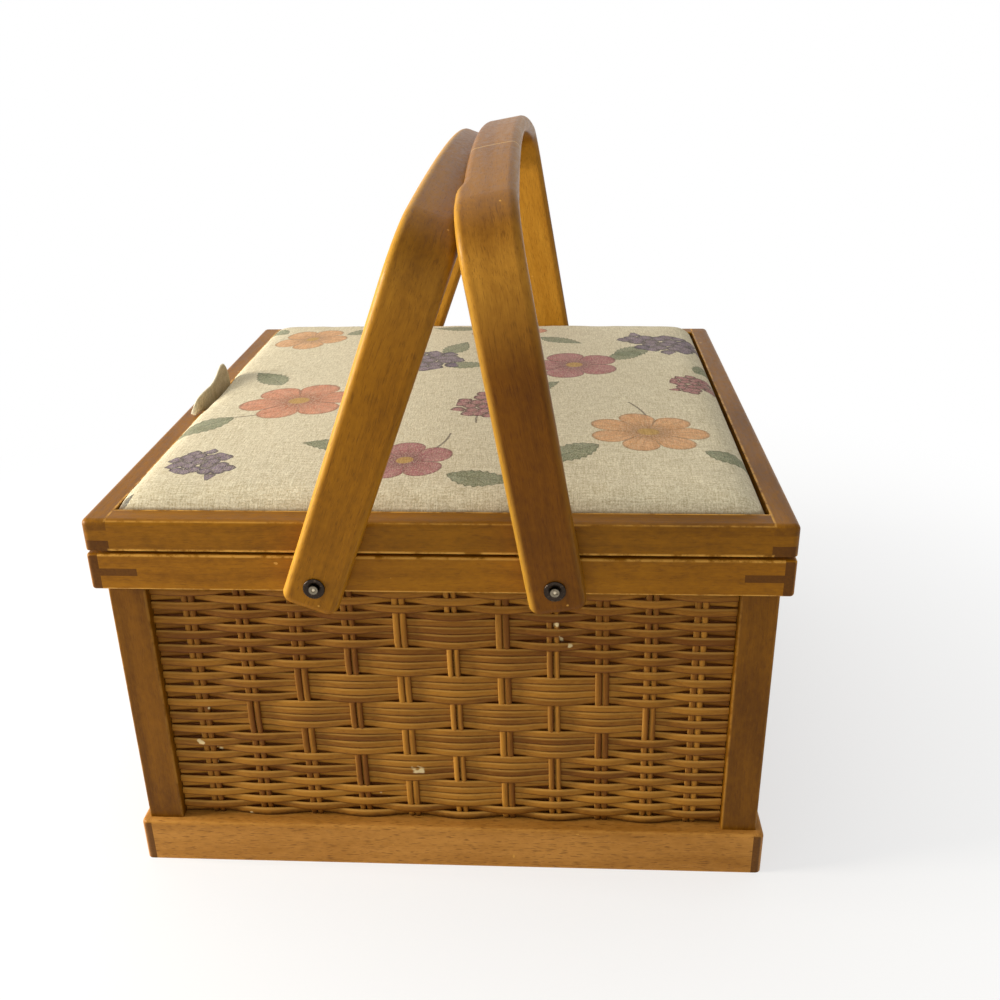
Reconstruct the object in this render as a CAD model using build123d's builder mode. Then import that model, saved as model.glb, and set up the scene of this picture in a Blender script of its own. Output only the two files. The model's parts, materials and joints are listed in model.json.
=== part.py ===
"""Sewing carrier: a woven box with a hinged frame lid, a padded inner lid and two folding handles.

Millimetres. X runs along the front face, Y from front to back, Z up from the surface it stands on.
"""

import math
import os

from build123d import *

# ---- overall ----
BOX_WIDTH = 300.0
BOX_DEPTH = 310.0

# ---- timber sections ----
BASE_HEIGHT = 22.5
BASE_INSET = 1.2
POST_SIZE = 16.5
POST_HEIGHT = 127.8
POST_INSET = 4.7
RIM_HEIGHT = 17.0
LID_GAP = 1.8
LID_HEIGHT = 14.2
LID_RAIL_WIDTH = 11.0

# ---- corner joints ----
LIP_WIDTH = 5.0
TONGUE_HEIGHT = 3.5
LID_FINGERS = 3
DOWEL_RADIUS = 3.0
DOWEL_IN_RAIL = 5.0
DOWEL_IN_POST = 12.0

# ---- rounded edges ----
LID_CORNER_RADIUS = 3.0
LID_TOP_RADIUS = 2.5
RIM_CORNER_RADIUS = 2.0
RIM_EDGE_RADIUS = 1.2
BASE_CORNER_RADIUS = 3.0
BASE_TOP_RADIUS = 2.0
POST_EDGE_RADIUS = 1.0

# ---- floor and wall boards ----
FLOOR_THICKNESS = 4.0
FLOOR_REBATE = 7.0
WALL_BOARD_THICKNESS = 3.0

# ---- weave ----
STAKE_PAIRS = 11
STAKE_RADIUS = 1.6
STAKE_SPACING = 3.7
STAKE_EDGE_MARGIN = 16.2
STRAND_THICKNESS = 1.8
STRAND_GAP = 0.25
STRAND_ROWS = 36
STRANDS_PER_BLOCK = 4
BLOCK_ROWS = 7
PLAIN_ROWS_BELOW = 3
WEAVE_RECESS = 1.2
WEAVE_CLEARANCE = 0.25
STRAND_LANDING = 0.8

# ---- padded inner lid ----
LEDGE_WIDTH = 6.0
LEDGE_HEIGHT = 4.0
PAD_BOARD_THICKNESS = 6.0
PAD_SIDE_GAP = 0.6
CUSHION_INSET = 1.0
CUSHION_EDGE_HEIGHT = 3.0
CUSHION_CROWN = 16.0
CUSHION_STEPS = ((0.0, 1.0), (0.5, 0.9), (0.82, 0.72), (1.0, 0.4))
PIN_RADIUS = 1.5
PIN_CLEARANCE = 0.05
PIN_IN_RAIL = 7.0
PIN_IN_BOARD = 12.0
PIN_FROM_EDGE = 4.0
TAB_WIDTH = 32.0
TAB_HEIGHT = 19.0
TAB_THICKNESS = 1.6
TAB_LEAN = 5.0
TAB_CLEARANCE = 0.3

# ---- lid hinges and bumpers ----
HINGE_LENGTH = 32.0
HINGE_LEAF_HEIGHT = 11.0
HINGE_LEAF_THICKNESS = 1.0
HINGE_KNUCKLE_RADIUS = 2.3
HINGE_PIN_RADIUS = 1.0
HINGE_CLEARANCE = 0.3
HINGE_FROM_CENTRE = 95.0
SCREW_RADIUS = 1.2
SCREW_LENGTH = 8.0
SCREW_HEAD_RADIUS = 2.2
SCREW_HEAD_HEIGHT = 1.0
SCREW_SPACING = 20.0
SCREW_HOLE_CLEARANCE = 0.1
BUMPER_RADIUS = 4.0
BUMPER_FROM_CORNER = 30.0

# ---- handles ----
PIVOT_X = 50.0
PIVOT_BELOW_RIM_MIDDLE = 1.0
HANDLE_THICKNESS = 8.5
HANDLE_LEG_WIDTH = 24.4
HANDLE_CUTBACK = 2.4
HANDLE_END = 11.5
HANDLE_END_RADIUS = 5.0
HANDLE_TOP = 171.5
HANDLE_BEND_RADIUS = 28.0
HANDLE_ARCH_RISE = 13.0
HANDLE_ARCH_HALF = 140.0
HANDLE_GRIP_HALF = 118.0
HANDLE_SHOULDER_LENGTH = 14.0
HANDLE_EDGE_RADIUS = 3.5
LEFT_HANDLE_LEAN = 20.4
RIGHT_HANDLE_LEAN = -9.9

# ---- handle pivots ----
SPACER_THICKNESS = 1.9
SPACER_RADIUS = 6.0
WASHER_RADIUS = 4.6
WASHER_THICKNESS = 1.0
RIVET_RADIUS = 1.4
RIVET_CLEARANCE = 0.06
RIVET_ROLL_RADIUS = 1.9
RIVET_ROLL_HEIGHT = 0.8
RIVET_HOLLOW_RADIUS = 0.9
RIVET_HOLLOW_DEPTH = 3.0
RIVET_HEAD_RADIUS = 4.5
RIVET_HEAD_HEIGHT = 1.2
FACE_CLEARANCE = 0.1

# ---- worked out from the sizes above ----
HALF_WIDTH = BOX_WIDTH / 2
HALF_DEPTH = BOX_DEPTH / 2
RIM_RAIL_WIDTH = POST_INSET + POST_SIZE
RIM_BOTTOM = BASE_HEIGHT + POST_HEIGHT
RIM_TOP = RIM_BOTTOM + RIM_HEIGHT
LID_BOTTOM = RIM_TOP + LID_GAP
LID_TOP = LID_BOTTOM + LID_HEIGHT
INNER_X = HALF_WIDTH - RIM_RAIL_WIDTH
INNER_Y = HALF_DEPTH - RIM_RAIL_WIDTH
LID_INNER_X = HALF_WIDTH - LID_RAIL_WIDTH
LID_INNER_Y = HALF_DEPTH - LID_RAIL_WIDTH
RIM_SPAN = (RIM_BOTTOM, RIM_TOP)
LID_SPAN = (LID_BOTTOM, LID_TOP)
PIVOT_Z = (RIM_BOTTOM + RIM_TOP) / 2 - PIVOT_BELOW_RIM_MIDDLE
SIDES = ("front", "right", "back", "left")

os.makedirs("parts", exist_ok=True)


def save(builder, name):
    """Label a finished sub-part and write it to its own file."""
    builder.part.label = name
    export_step(builder.part, f"parts/{name}.step")


def block(x_span, y_span, z_span, mode=Mode.ADD):
    """Add a box that fills the three spans to the part being built."""
    spans = (x_span, y_span, z_span)
    with Locations(tuple((low + high) / 2 for low, high in spans)):
        Box(*(high - low for low, high in spans), mode=mode)


def around(centre, size):
    """Span of the given size about a centre."""
    return (centre - size / 2, centre + size / 2)


def signed(side, inner, outer):
    """Span from inner to outer on the positive or the negative side."""
    return (inner, outer) if side > 0 else (-outer, -inner)


# ======== outlines that round off the corners of a whole frame ========

with BuildPart() as base_outline:
    block(
        (-HALF_WIDTH + BASE_INSET, HALF_WIDTH - BASE_INSET),
        (-HALF_DEPTH + BASE_INSET, HALF_DEPTH - BASE_INSET),
        (0, BASE_HEIGHT),
    )
    fillet(base_outline.edges().filter_by(Axis.Z), BASE_CORNER_RADIUS)
    fillet(base_outline.faces().sort_by(Axis.Z)[-1].edges(), BASE_TOP_RADIUS)

with BuildPart() as rim_outline:
    block((-HALF_WIDTH, HALF_WIDTH), (-HALF_DEPTH, HALF_DEPTH), RIM_SPAN)
    fillet(rim_outline.edges().filter_by(Axis.Z), RIM_CORNER_RADIUS)
    fillet(rim_outline.faces().filter_by(Axis.Z).edges(), RIM_EDGE_RADIUS)

with BuildPart() as lid_outline:
    block((-HALF_WIDTH, HALF_WIDTH), (-HALF_DEPTH, HALF_DEPTH), LID_SPAN)
    fillet(lid_outline.edges().filter_by(Axis.Z), LID_CORNER_RADIUS)
    fillet(lid_outline.faces().sort_by(Axis.Z)[-1].edges(), LID_TOP_RADIUS)

# ======== places shared by several pieces ========

POST_CENTRES = [
    (sx * (INNER_X + POST_SIZE / 2), sy * (INNER_Y + POST_SIZE / 2)) for sx in (-1, 1) for sy in (-1, 1)
]
POST_NAMES = ("post_left_front", "post_left_back", "post_right_front", "post_right_back")
TONGUE_SPAN = around((RIM_BOTTOM + RIM_TOP) / 2, TONGUE_HEIGHT)
FINGER_HEIGHT = LID_HEIGHT / LID_FINGERS
MIDDLE_FINGER = (LID_BOTTOM + FINGER_HEIGHT, LID_TOP - FINGER_HEIGHT)
FLOOR_X = INNER_X + FLOOR_REBATE
FLOOR_Y = INNER_Y + FLOOR_REBATE

HINGE_AXIS_X = HALF_WIDTH + HINGE_KNUCKLE_RADIUS + FACE_CLEARANCE
HINGE_AXIS_Z = RIM_TOP + LID_GAP / 2
HINGE_CENTRES = (-HINGE_FROM_CENTRE, HINGE_FROM_CENTRE)
LEAF_START = HINGE_KNUCKLE_RADIUS + HINGE_CLEARANCE
SCREW_FROM_AXIS = LEAF_START + (HINGE_LEAF_HEIGHT - LEAF_START) / 2

PAD_BOTTOM = LID_BOTTOM + LEDGE_HEIGHT
PAD_BOARD_TOP = PAD_BOTTOM + PAD_BOARD_THICKNESS
PAD_HALF_X = LID_INNER_X - PAD_SIDE_GAP
PAD_HALF_Y = LID_INNER_Y - PAD_SIDE_GAP
PIN_X = PAD_HALF_X - PIN_FROM_EDGE
PIN_Z = PAD_BOTTOM + PAD_BOARD_THICKNESS / 2


def drill_dowels(rail_face, into_rail):
    """Cut dowel holes above all four posts, up or down from the rail's face that meets them."""
    middle = rail_face + into_rail / 2
    with Locations(*[(x, y, middle) for x, y in POST_CENTRES]):
        Cylinder(DOWEL_RADIUS, abs(into_rail), mode=Mode.SUBTRACT)


def drill_rivets(radius, y_span):
    """Cut the holes for the four handle rivets along Y."""
    length = y_span[1] - y_span[0]
    middle = (y_span[0] + y_span[1]) / 2
    for side in (-1, 1):
        for x in (-PIVOT_X, PIVOT_X):
            with Locations(Location((x, side * middle, PIVOT_Z), (90, 0, 0))):
                Cylinder(radius, length, mode=Mode.SUBTRACT)


def hinge_screw_places(direction):
    """Centres of the screws on the right face: above the hinge axis (+1) or below it (-1)."""
    return [
        (HALF_WIDTH, centre + offset, HINGE_AXIS_Z + direction * SCREW_FROM_AXIS)
        for centre in HINGE_CENTRES
        for offset in (-SCREW_SPACING / 2, SCREW_SPACING / 2)
    ]


def drill_screws(direction, radius, x_span):
    """Cut the hinge screw holes along X."""
    middle = (x_span[0] + x_span[1]) / 2
    for _, y, z in hinge_screw_places(direction):
        with Locations(Location((middle, y, z), (0, 90, 0))):
            Cylinder(radius, x_span[1] - x_span[0], mode=Mode.SUBTRACT)


# ======== base frame and floor ========

BASE_OUTER_X = HALF_WIDTH - BASE_INSET
BASE_OUTER_Y = HALF_DEPTH - BASE_INSET


def cut_floor_rebate():
    """Cut the rebate that takes the floor board flush with the underside."""
    block((-FLOOR_X, FLOOR_X), (-FLOOR_Y, FLOOR_Y), (0, FLOOR_THICKNESS), mode=Mode.SUBTRACT)


for name, side in (("base_front", -1), ("base_back", 1)):
    with BuildPart() as base_rail:
        reach = BASE_OUTER_X - LIP_WIDTH
        block((-reach, reach), signed(side, INNER_Y, BASE_OUTER_Y), (0, BASE_HEIGHT))
        add(base_outline.part, mode=Mode.INTERSECT)
        cut_floor_rebate()
        drill_dowels(BASE_HEIGHT, -DOWEL_IN_RAIL)
    save(base_rail, name)

for name, side in (("base_left", -1), ("base_right", 1)):
    with BuildPart() as base_rail:
        block(signed(side, INNER_X, BASE_OUTER_X), (-BASE_OUTER_Y, BASE_OUTER_Y), (0, BASE_HEIGHT))
        for end in (-1, 1):
            rebate_x = signed(side, INNER_X, BASE_OUTER_X - LIP_WIDTH)
            rebate_y = signed(end, INNER_Y, BASE_OUTER_Y)
            block(rebate_x, rebate_y, (0, BASE_HEIGHT), mode=Mode.SUBTRACT)
        add(base_outline.part, mode=Mode.INTERSECT)
        cut_floor_rebate()
    save(base_rail, name)

with BuildPart() as floor_board:
    block((-FLOOR_X, FLOOR_X), (-FLOOR_Y, FLOOR_Y), (0, FLOOR_THICKNESS))
save(floor_board, "floor_board")

# ======== corner posts and their dowels ========

for name, (x, y) in zip(POST_NAMES, POST_CENTRES):
    with BuildPart() as post:
        block(around(x, POST_SIZE), around(y, POST_SIZE), (BASE_HEIGHT, RIM_BOTTOM))
        fillet(post.edges().filter_by(Axis.Z), POST_EDGE_RADIUS)
        for end in (BASE_HEIGHT + DOWEL_IN_POST / 2, RIM_BOTTOM - DOWEL_IN_POST / 2):
            with Locations((x, y, end)):
                Cylinder(DOWEL_RADIUS, DOWEL_IN_POST, mode=Mode.SUBTRACT)
    save(post, name)

with BuildPart() as post_dowels:
    dowel_length = DOWEL_IN_RAIL + DOWEL_IN_POST
    for low in (BASE_HEIGHT - DOWEL_IN_RAIL, RIM_BOTTOM - DOWEL_IN_POST):
        with Locations(*[(x, y, low + dowel_length / 2) for x, y in POST_CENTRES]):
            Cylinder(DOWEL_RADIUS, dowel_length)
save(post_dowels, "post_dowels")

# ======== rim frame ========

RIVET_SPAN = (HALF_DEPTH - RIM_RAIL_WIDTH, HALF_DEPTH)

for name, side in (("rim_front", -1), ("rim_back", 1)):
    with BuildPart() as rim_rail:
        reach = HALF_WIDTH - LIP_WIDTH
        rail_y = signed(side, INNER_Y, HALF_DEPTH)
        block((-reach, reach), rail_y, RIM_SPAN)
        for end in (-1, 1):
            block(signed(end, INNER_X, reach), rail_y, TONGUE_SPAN, mode=Mode.SUBTRACT)
        add(rim_outline.part, mode=Mode.INTERSECT)
        drill_dowels(RIM_BOTTOM, DOWEL_IN_RAIL)
        drill_rivets(RIVET_RADIUS, RIVET_SPAN)
    save(rim_rail, name)

for name, side in (("rim_left", -1), ("rim_right", 1)):
    with BuildPart() as rim_rail:
        block(signed(side, INNER_X, HALF_WIDTH), (-HALF_DEPTH, HALF_DEPTH), RIM_SPAN)
        rebate_x = signed(side, INNER_X, HALF_WIDTH - LIP_WIDTH)
        for end in (-1, 1):
            rebate_y = signed(end, INNER_Y, HALF_DEPTH)
            block(rebate_x, rebate_y, (RIM_BOTTOM, TONGUE_SPAN[0]), mode=Mode.SUBTRACT)
            block(rebate_x, rebate_y, (TONGUE_SPAN[1], RIM_TOP), mode=Mode.SUBTRACT)
        add(rim_outline.part, mode=Mode.INTERSECT)
        if side > 0:
            drill_screws(-1, SCREW_RADIUS, (HALF_WIDTH - SCREW_LENGTH, HALF_WIDTH))
    save(rim_rail, name)

# ======== woven walls ========


def wall_frame(side):
    """Outer half size across, opening length and sketch plane (X along the wall, Y inwards) of one wall."""
    index = SIDES.index(side)
    direction = Vector(1, 0, 0).rotate(Axis.Z, 90 * index)
    inward = Vector(0, 1, 0).rotate(Axis.Z, 90 * index)
    outer = HALF_DEPTH if side in ("front", "back") else HALF_WIDTH
    opening = 2 * (INNER_X if side in ("front", "back") else INNER_Y)
    face = outer - POST_INSET - WEAVE_RECESS
    plane = Plane(origin=inward * -face, x_dir=direction, z_dir=(0, 0, 1))
    return opening, plane


def strand_is_outside(row, pair):
    """True where strand number row (0 at the bottom) passes outside stake pair number pair."""
    from_middle = pair - (STAKE_PAIRS - 1) // 2
    block_row = (row - PLAIN_ROWS_BELOW) // STRANDS_PER_BLOCK
    if 0 <= block_row < BLOCK_ROWS:
        from_middle_row = abs(block_row - BLOCK_ROWS // 2)
        same_phase = (from_middle + block_row) % 2 == 0
        if same_phase and abs(from_middle) <= BLOCK_ROWS // 2 - from_middle_row:
            return True
        if not same_phase and abs(from_middle) <= BLOCK_ROWS // 2 + 1 - from_middle_row:
            return False
    return (from_middle + row) % 2 == 0


STRAND_PITCH = POST_HEIGHT / STRAND_ROWS
STAKE_LINE = STRAND_THICKNESS + WEAVE_CLEARANCE + STAKE_RADIUS
STRAND_SWING = STAKE_LINE - STRAND_THICKNESS / 2
WEAVE_DEPTH = 2 * STAKE_LINE
PAIR_HALF_WIDTH = STAKE_SPACING / 2 + STAKE_RADIUS


def pair_places(opening):
    """Positions of the stake pairs along a wall."""
    pitch = (opening - 2 * STAKE_EDGE_MARGIN) / (STAKE_PAIRS - 1)
    return [-opening / 2 + STAKE_EDGE_MARGIN + pitch * i for i in range(STAKE_PAIRS)]


def strand_outline(row, opening):
    """Closed outline of one strand that swings in and out between the stake pairs, seen from above."""
    landing = PAIR_HALF_WIDTH + STRAND_LANDING
    line = []
    for pair, x in enumerate(pair_places(opening)):
        y = STAKE_LINE + (-STRAND_SWING if strand_is_outside(row, pair) else STRAND_SWING)
        line += [(x - landing, y), (x + landing, y)]
    end = opening / 2 - WEAVE_CLEARANCE
    line = [(-end, line[0][1])] + line + [(end, line[-1][1])]
    half = STRAND_THICKNESS / 2
    return [(x, y - half) for x, y in line] + [(x, y + half) for x, y in reversed(line)]


for side in SIDES:
    opening, wall_plane = wall_frame(side)

    with BuildPart() as stakes:
        with BuildSketch(wall_plane.offset(BASE_HEIGHT)):
            for x in pair_places(opening):
                with Locations((x - STAKE_SPACING / 2, STAKE_LINE), (x + STAKE_SPACING / 2, STAKE_LINE)):
                    Circle(STAKE_RADIUS)
        extrude(amount=POST_HEIGHT)
    save(stakes, f"stakes_{side}")

    with BuildPart() as strands:
        for row in range(STRAND_ROWS):
            with BuildSketch(wall_plane.offset(BASE_HEIGHT + STRAND_PITCH * row + STRAND_GAP / 2)):
                with BuildLine():
                    Polyline(*strand_outline(row, opening), close=True)
                make_face()
        extrude(amount=STRAND_PITCH - STRAND_GAP)
    save(strands, f"strands_{side}")

    with BuildPart() as wall_board:
        with BuildSketch(wall_plane.offset(BASE_HEIGHT)):
            with Locations((0, WEAVE_DEPTH + WEAVE_CLEARANCE + WALL_BOARD_THICKNESS / 2)):
                Rectangle(opening, WALL_BOARD_THICKNESS)
        extrude(amount=POST_HEIGHT)
    save(wall_board, f"wall_board_{side}")

# ======== frame lid ========

PIN_RAIL_SPAN = (LID_INNER_Y, LID_INNER_Y + PIN_IN_RAIL)

for name, side in (("lid_front", -1), ("lid_back", 1)):
    with BuildPart() as lid_rail:
        rail_y = signed(side, LID_INNER_Y, HALF_DEPTH)
        block((-LID_INNER_X, LID_INNER_X), rail_y, LID_SPAN)
        block((-HALF_WIDTH, HALF_WIDTH), rail_y, MIDDLE_FINGER)
        add(lid_outline.part, mode=Mode.INTERSECT)
        pin_y = side * (PIN_RAIL_SPAN[0] + PIN_RAIL_SPAN[1]) / 2
        with Locations(Location((PIN_X, pin_y, PIN_Z), (90, 0, 0))):
            Cylinder(PIN_RADIUS, PIN_IN_RAIL, mode=Mode.SUBTRACT)
    save(lid_rail, name)

for name, side in (("lid_left", -1), ("lid_right", 1)):
    with BuildPart() as lid_rail:
        rail_x = signed(side, LID_INNER_X, HALF_WIDTH)
        block(rail_x, (-HALF_DEPTH, HALF_DEPTH), LID_SPAN)
        for end in (-1, 1):
            block(rail_x, signed(end, LID_INNER_Y, HALF_DEPTH), MIDDLE_FINGER, mode=Mode.SUBTRACT)
        add(lid_outline.part, mode=Mode.INTERSECT)
        if side > 0:
            drill_screws(1, SCREW_RADIUS, (HALF_WIDTH - SCREW_LENGTH, HALF_WIDTH))
    save(lid_rail, name)

LEDGE_SPAN = (LID_BOTTOM, PAD_BOTTOM)
LEDGE_END_X = PIN_X - 2 * PIN_RADIUS

with BuildPart() as ledge:
    block((-LID_INNER_X, -LID_INNER_X + LEDGE_WIDTH), (-LID_INNER_Y, LID_INNER_Y), LEDGE_SPAN)
save(ledge, "ledge_left")

for name, side in (("ledge_front", -1), ("ledge_back", 1)):
    with BuildPart() as ledge:
        ledge_x = (-LID_INNER_X + LEDGE_WIDTH, LEDGE_END_X)
        block(ledge_x, signed(side, LID_INNER_Y - LEDGE_WIDTH, LID_INNER_Y), LEDGE_SPAN)
    save(ledge, name)

with BuildPart() as lid_bumpers:
    for side in (-1, 1):
        bumper_y = side * (HALF_DEPTH - BUMPER_FROM_CORNER)
        with Locations((RIM_RAIL_WIDTH / 2 - HALF_WIDTH, bumper_y, RIM_TOP + LID_GAP / 2)):
            Cylinder(BUMPER_RADIUS, LID_GAP)
save(lid_bumpers, "lid_bumpers")

# ======== lid hinges ========


def hinge_leaf(direction, knuckle_spans):
    """Add both hinges' leaves on one side of the axis, with knuckles over the given spans."""
    for centre in HINGE_CENTRES:
        far = HINGE_AXIS_Z + direction * HINGE_LEAF_HEIGHT
        near = HINGE_AXIS_Z + direction * LEAF_START
        leaf_x = (HALF_WIDTH, HALF_WIDTH + HINGE_LEAF_THICKNESS)
        block(leaf_x, around(centre, HINGE_LENGTH), (min(near, far), max(near, far)))
        for low, high in knuckle_spans:
            span = (centre + low, centre + high)
            block(leaf_x, span, (min(near, HINGE_AXIS_Z), max(near, HINGE_AXIS_Z)))
            with Locations(Location((HINGE_AXIS_X, (span[0] + span[1]) / 2, HINGE_AXIS_Z), (90, 0, 0))):
                Cylinder(HINGE_KNUCKLE_RADIUS, high - low)


def hinge_bore(radius):
    """Cut the pin hole through both hinges."""
    for centre in HINGE_CENTRES:
        with Locations(Location((HINGE_AXIS_X, centre, HINGE_AXIS_Z), (90, 0, 0))):
            Cylinder(radius, HINGE_LENGTH, mode=Mode.SUBTRACT)


KNUCKLE = HINGE_LENGTH / 3
OUTER_KNUCKLES = (
    (-HINGE_LENGTH / 2, -KNUCKLE / 2 - HINGE_CLEARANCE),
    (KNUCKLE / 2 + HINGE_CLEARANCE, HINGE_LENGTH / 2),
)
MIDDLE_KNUCKLE = ((-KNUCKLE / 2, KNUCKLE / 2),)
LEAF_SPAN = (HALF_WIDTH, HALF_WIDTH + HINGE_LEAF_THICKNESS)

with BuildPart() as rim_hinge_leaves:
    hinge_leaf(-1, OUTER_KNUCKLES)
    hinge_bore(HINGE_PIN_RADIUS)
    drill_screws(-1, SCREW_RADIUS + SCREW_HOLE_CLEARANCE, LEAF_SPAN)
save(rim_hinge_leaves, "rim_hinge_leaves")

with BuildPart() as lid_hinge_leaves:
    hinge_leaf(1, MIDDLE_KNUCKLE)
    hinge_bore(HINGE_PIN_RADIUS + PIN_CLEARANCE)
    drill_screws(1, SCREW_RADIUS + SCREW_HOLE_CLEARANCE, LEAF_SPAN)
save(lid_hinge_leaves, "lid_hinge_leaves")

with BuildPart() as lid_hinge_pins:
    for centre in HINGE_CENTRES:
        with Locations(Location((HINGE_AXIS_X, centre, HINGE_AXIS_Z), (90, 0, 0))):
            Cylinder(HINGE_PIN_RADIUS, HINGE_LENGTH)
save(lid_hinge_pins, "lid_hinge_pins")

for name, direction in (("rim_hinge_screws", -1), ("lid_hinge_screws", 1)):
    with BuildPart() as hinge_screws:
        head_start = HALF_WIDTH + HINGE_LEAF_THICKNESS
        shank = SCREW_LENGTH + HINGE_LEAF_THICKNESS
        for _, y, z in hinge_screw_places(direction):
            with Locations(Location((head_start - shank / 2, y, z), (0, 90, 0))):
                Cylinder(SCREW_RADIUS, shank)
            with Locations(Location((head_start + SCREW_HEAD_HEIGHT / 2, y, z), (0, 90, 0))):
                Cylinder(SCREW_HEAD_RADIUS, SCREW_HEAD_HEIGHT)
    save(hinge_screws, name)

# ======== padded inner lid ========

with BuildPart() as pad_board:
    block((-PAD_HALF_X, PAD_HALF_X), (-PAD_HALF_Y, PAD_HALF_Y), (PAD_BOTTOM, PAD_BOARD_TOP))
    for side in (-1, 1):
        bore_y = side * (PAD_HALF_Y - PIN_IN_BOARD / 2)
        with Locations(Location((PIN_X, bore_y, PIN_Z), (90, 0, 0))):
            Cylinder(PIN_RADIUS + PIN_CLEARANCE, PIN_IN_BOARD, mode=Mode.SUBTRACT)
save(pad_board, "pad_board")

with BuildPart() as pad_pivot_pins:
    pin_span = (PAD_HALF_Y - PIN_IN_BOARD + FACE_CLEARANCE, LID_INNER_Y + PIN_IN_RAIL)
    for side in (-1, 1):
        pin_y = side * (pin_span[0] + pin_span[1]) / 2
        with Locations(Location((PIN_X, pin_y, PIN_Z), (90, 0, 0))):
            Cylinder(PIN_RADIUS, pin_span[1] - pin_span[0])
save(pad_pivot_pins, "pad_pivot_pins")

CUSHION_X = PAD_HALF_X - CUSHION_INSET
CUSHION_Y = PAD_HALF_Y - CUSHION_INSET
CUSHION_EDGE_TOP = PAD_BOARD_TOP + CUSHION_EDGE_HEIGHT
TAB_X = -PAD_HALF_X + TAB_THICKNESS / 2 + TAB_CLEARANCE

with BuildPart() as pad_cushion:
    block((-CUSHION_X, CUSHION_X), (-CUSHION_Y, CUSHION_Y), (PAD_BOARD_TOP, CUSHION_EDGE_TOP))
    for rise, share in CUSHION_STEPS:
        level = CUSHION_EDGE_TOP + rise * (CUSHION_CROWN - CUSHION_EDGE_HEIGHT)
        with BuildSketch(Plane.XY.offset(level)):
            Rectangle(2 * CUSHION_X * share, 2 * CUSHION_Y * share)
    loft(ruled=True)
    notch_x = (-CUSHION_X - 1, TAB_X + TAB_THICKNESS / 2 + TAB_CLEARANCE)
    notch_z = (PAD_BOARD_TOP, PAD_BOARD_TOP + CUSHION_CROWN)
    block(notch_x, around(0, TAB_WIDTH + 2 * TAB_CLEARANCE), notch_z, mode=Mode.SUBTRACT)
save(pad_cushion, "pad_cushion")

with BuildPart() as pull_tab:
    tab_foot = Plane(origin=(TAB_X, 0, PAD_BOARD_TOP + TAB_CLEARANCE), z_dir=(0, 0, 1))
    with BuildSketch(tab_foot.rotated((0, -TAB_LEAN, 0))):
        Rectangle(TAB_THICKNESS, TAB_WIDTH)
    extrude(amount=TAB_HEIGHT)
save(pull_tab, "pull_tab")

# ======== handles ========

HANDLE_INNER_Y = HALF_DEPTH + SPACER_THICKNESS + FACE_CLEARANCE
HANDLE_OUTER_Y = HANDLE_INNER_Y + HANDLE_THICKNESS
ARCH_RADIUS = (HANDLE_ARCH_HALF**2 + HANDLE_ARCH_RISE**2) / (2 * HANDLE_ARCH_RISE)


def handle_edge(depth):
    """Line from one leg end over the top to the other, at a depth below the outer surface (Y, height)."""
    bend_y = HANDLE_OUTER_Y - HANDLE_BEND_RADIUS
    arch_low = HANDLE_TOP - ARCH_RADIUS
    bend_z = arch_low + math.sqrt((ARCH_RADIUS - HANDLE_BEND_RADIUS) ** 2 - bend_y**2)
    turn = math.atan2(bend_z - arch_low, bend_y)
    radius = HANDLE_BEND_RADIUS - depth
    half_turn = turn / 2
    leg_y = HANDLE_OUTER_Y - depth
    meet = (bend_y + radius * math.cos(turn), bend_z + radius * math.sin(turn))
    on_bend = (bend_y + radius * math.cos(half_turn), bend_z + radius * math.sin(half_turn))
    with BuildLine() as edge:
        Line((leg_y, -HANDLE_END), (leg_y, bend_z))
        ThreePointArc((leg_y, bend_z), on_bend, meet)
        ThreePointArc(meet, (0, HANDLE_TOP - depth), (-meet[0], meet[1]))
        ThreePointArc((-meet[0], meet[1]), (-on_bend[0], on_bend[1]), (-leg_y, bend_z))
        Line((-leg_y, bend_z), (-leg_y, -HANDLE_END))
    return edge.line


with BuildPart() as handle_blank:
    outer_edge = handle_edge(0)
    inner_edge = handle_edge(HANDLE_THICKNESS)
    with BuildSketch(Plane.YZ):
        with BuildLine():
            add(outer_edge)
            add(inner_edge)
            Line((HANDLE_INNER_Y, -HANDLE_END), (HANDLE_OUTER_Y, -HANDLE_END))
            Line((-HANDLE_INNER_Y, -HANDLE_END), (-HANDLE_OUTER_Y, -HANDLE_END))
        make_face()
    extrude(amount=HANDLE_LEG_WIDTH / 2, both=True)
    fillet(handle_blank.edges().filter_by(Axis.Y).group_by(Axis.Z)[0], HANDLE_END_RADIUS)
    half_width = HANDLE_LEG_WIDTH / 2
    # The grip is cut back on the side where the two handles meet, so that they rest against each other.
    cut_half = half_width - HANDLE_CUTBACK
    shoulder = HANDLE_GRIP_HALF + HANDLE_SHOULDER_LENGTH
    with BuildSketch() as grip_cut:
        with BuildLine():
            Line((-cut_half, HANDLE_GRIP_HALF), (-cut_half, -HANDLE_GRIP_HALF))
            Spline(
                (-cut_half, -HANDLE_GRIP_HALF),
                (-half_width, -shoulder),
                tangents=((0, -1), (0, -1)),
            )
            Polyline(
                (-half_width, -shoulder),
                (-half_width - 1, -shoulder),
                (-half_width - 1, shoulder),
                (-half_width, shoulder),
            )
            Spline(
                (-half_width, shoulder),
                (-cut_half, HANDLE_GRIP_HALF),
                tangents=((0, -1), (0, -1)),
            )
        make_face()
    extrude(amount=HANDLE_TOP + 1, mode=Mode.SUBTRACT)
    lengthways = handle_blank.edges().filter_by(Axis.Y, reverse=True)
    fillet(lengthways.filter_by(lambda edge: edge.bounding_box().size.X < half_width), HANDLE_EDGE_RADIUS)

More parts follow.
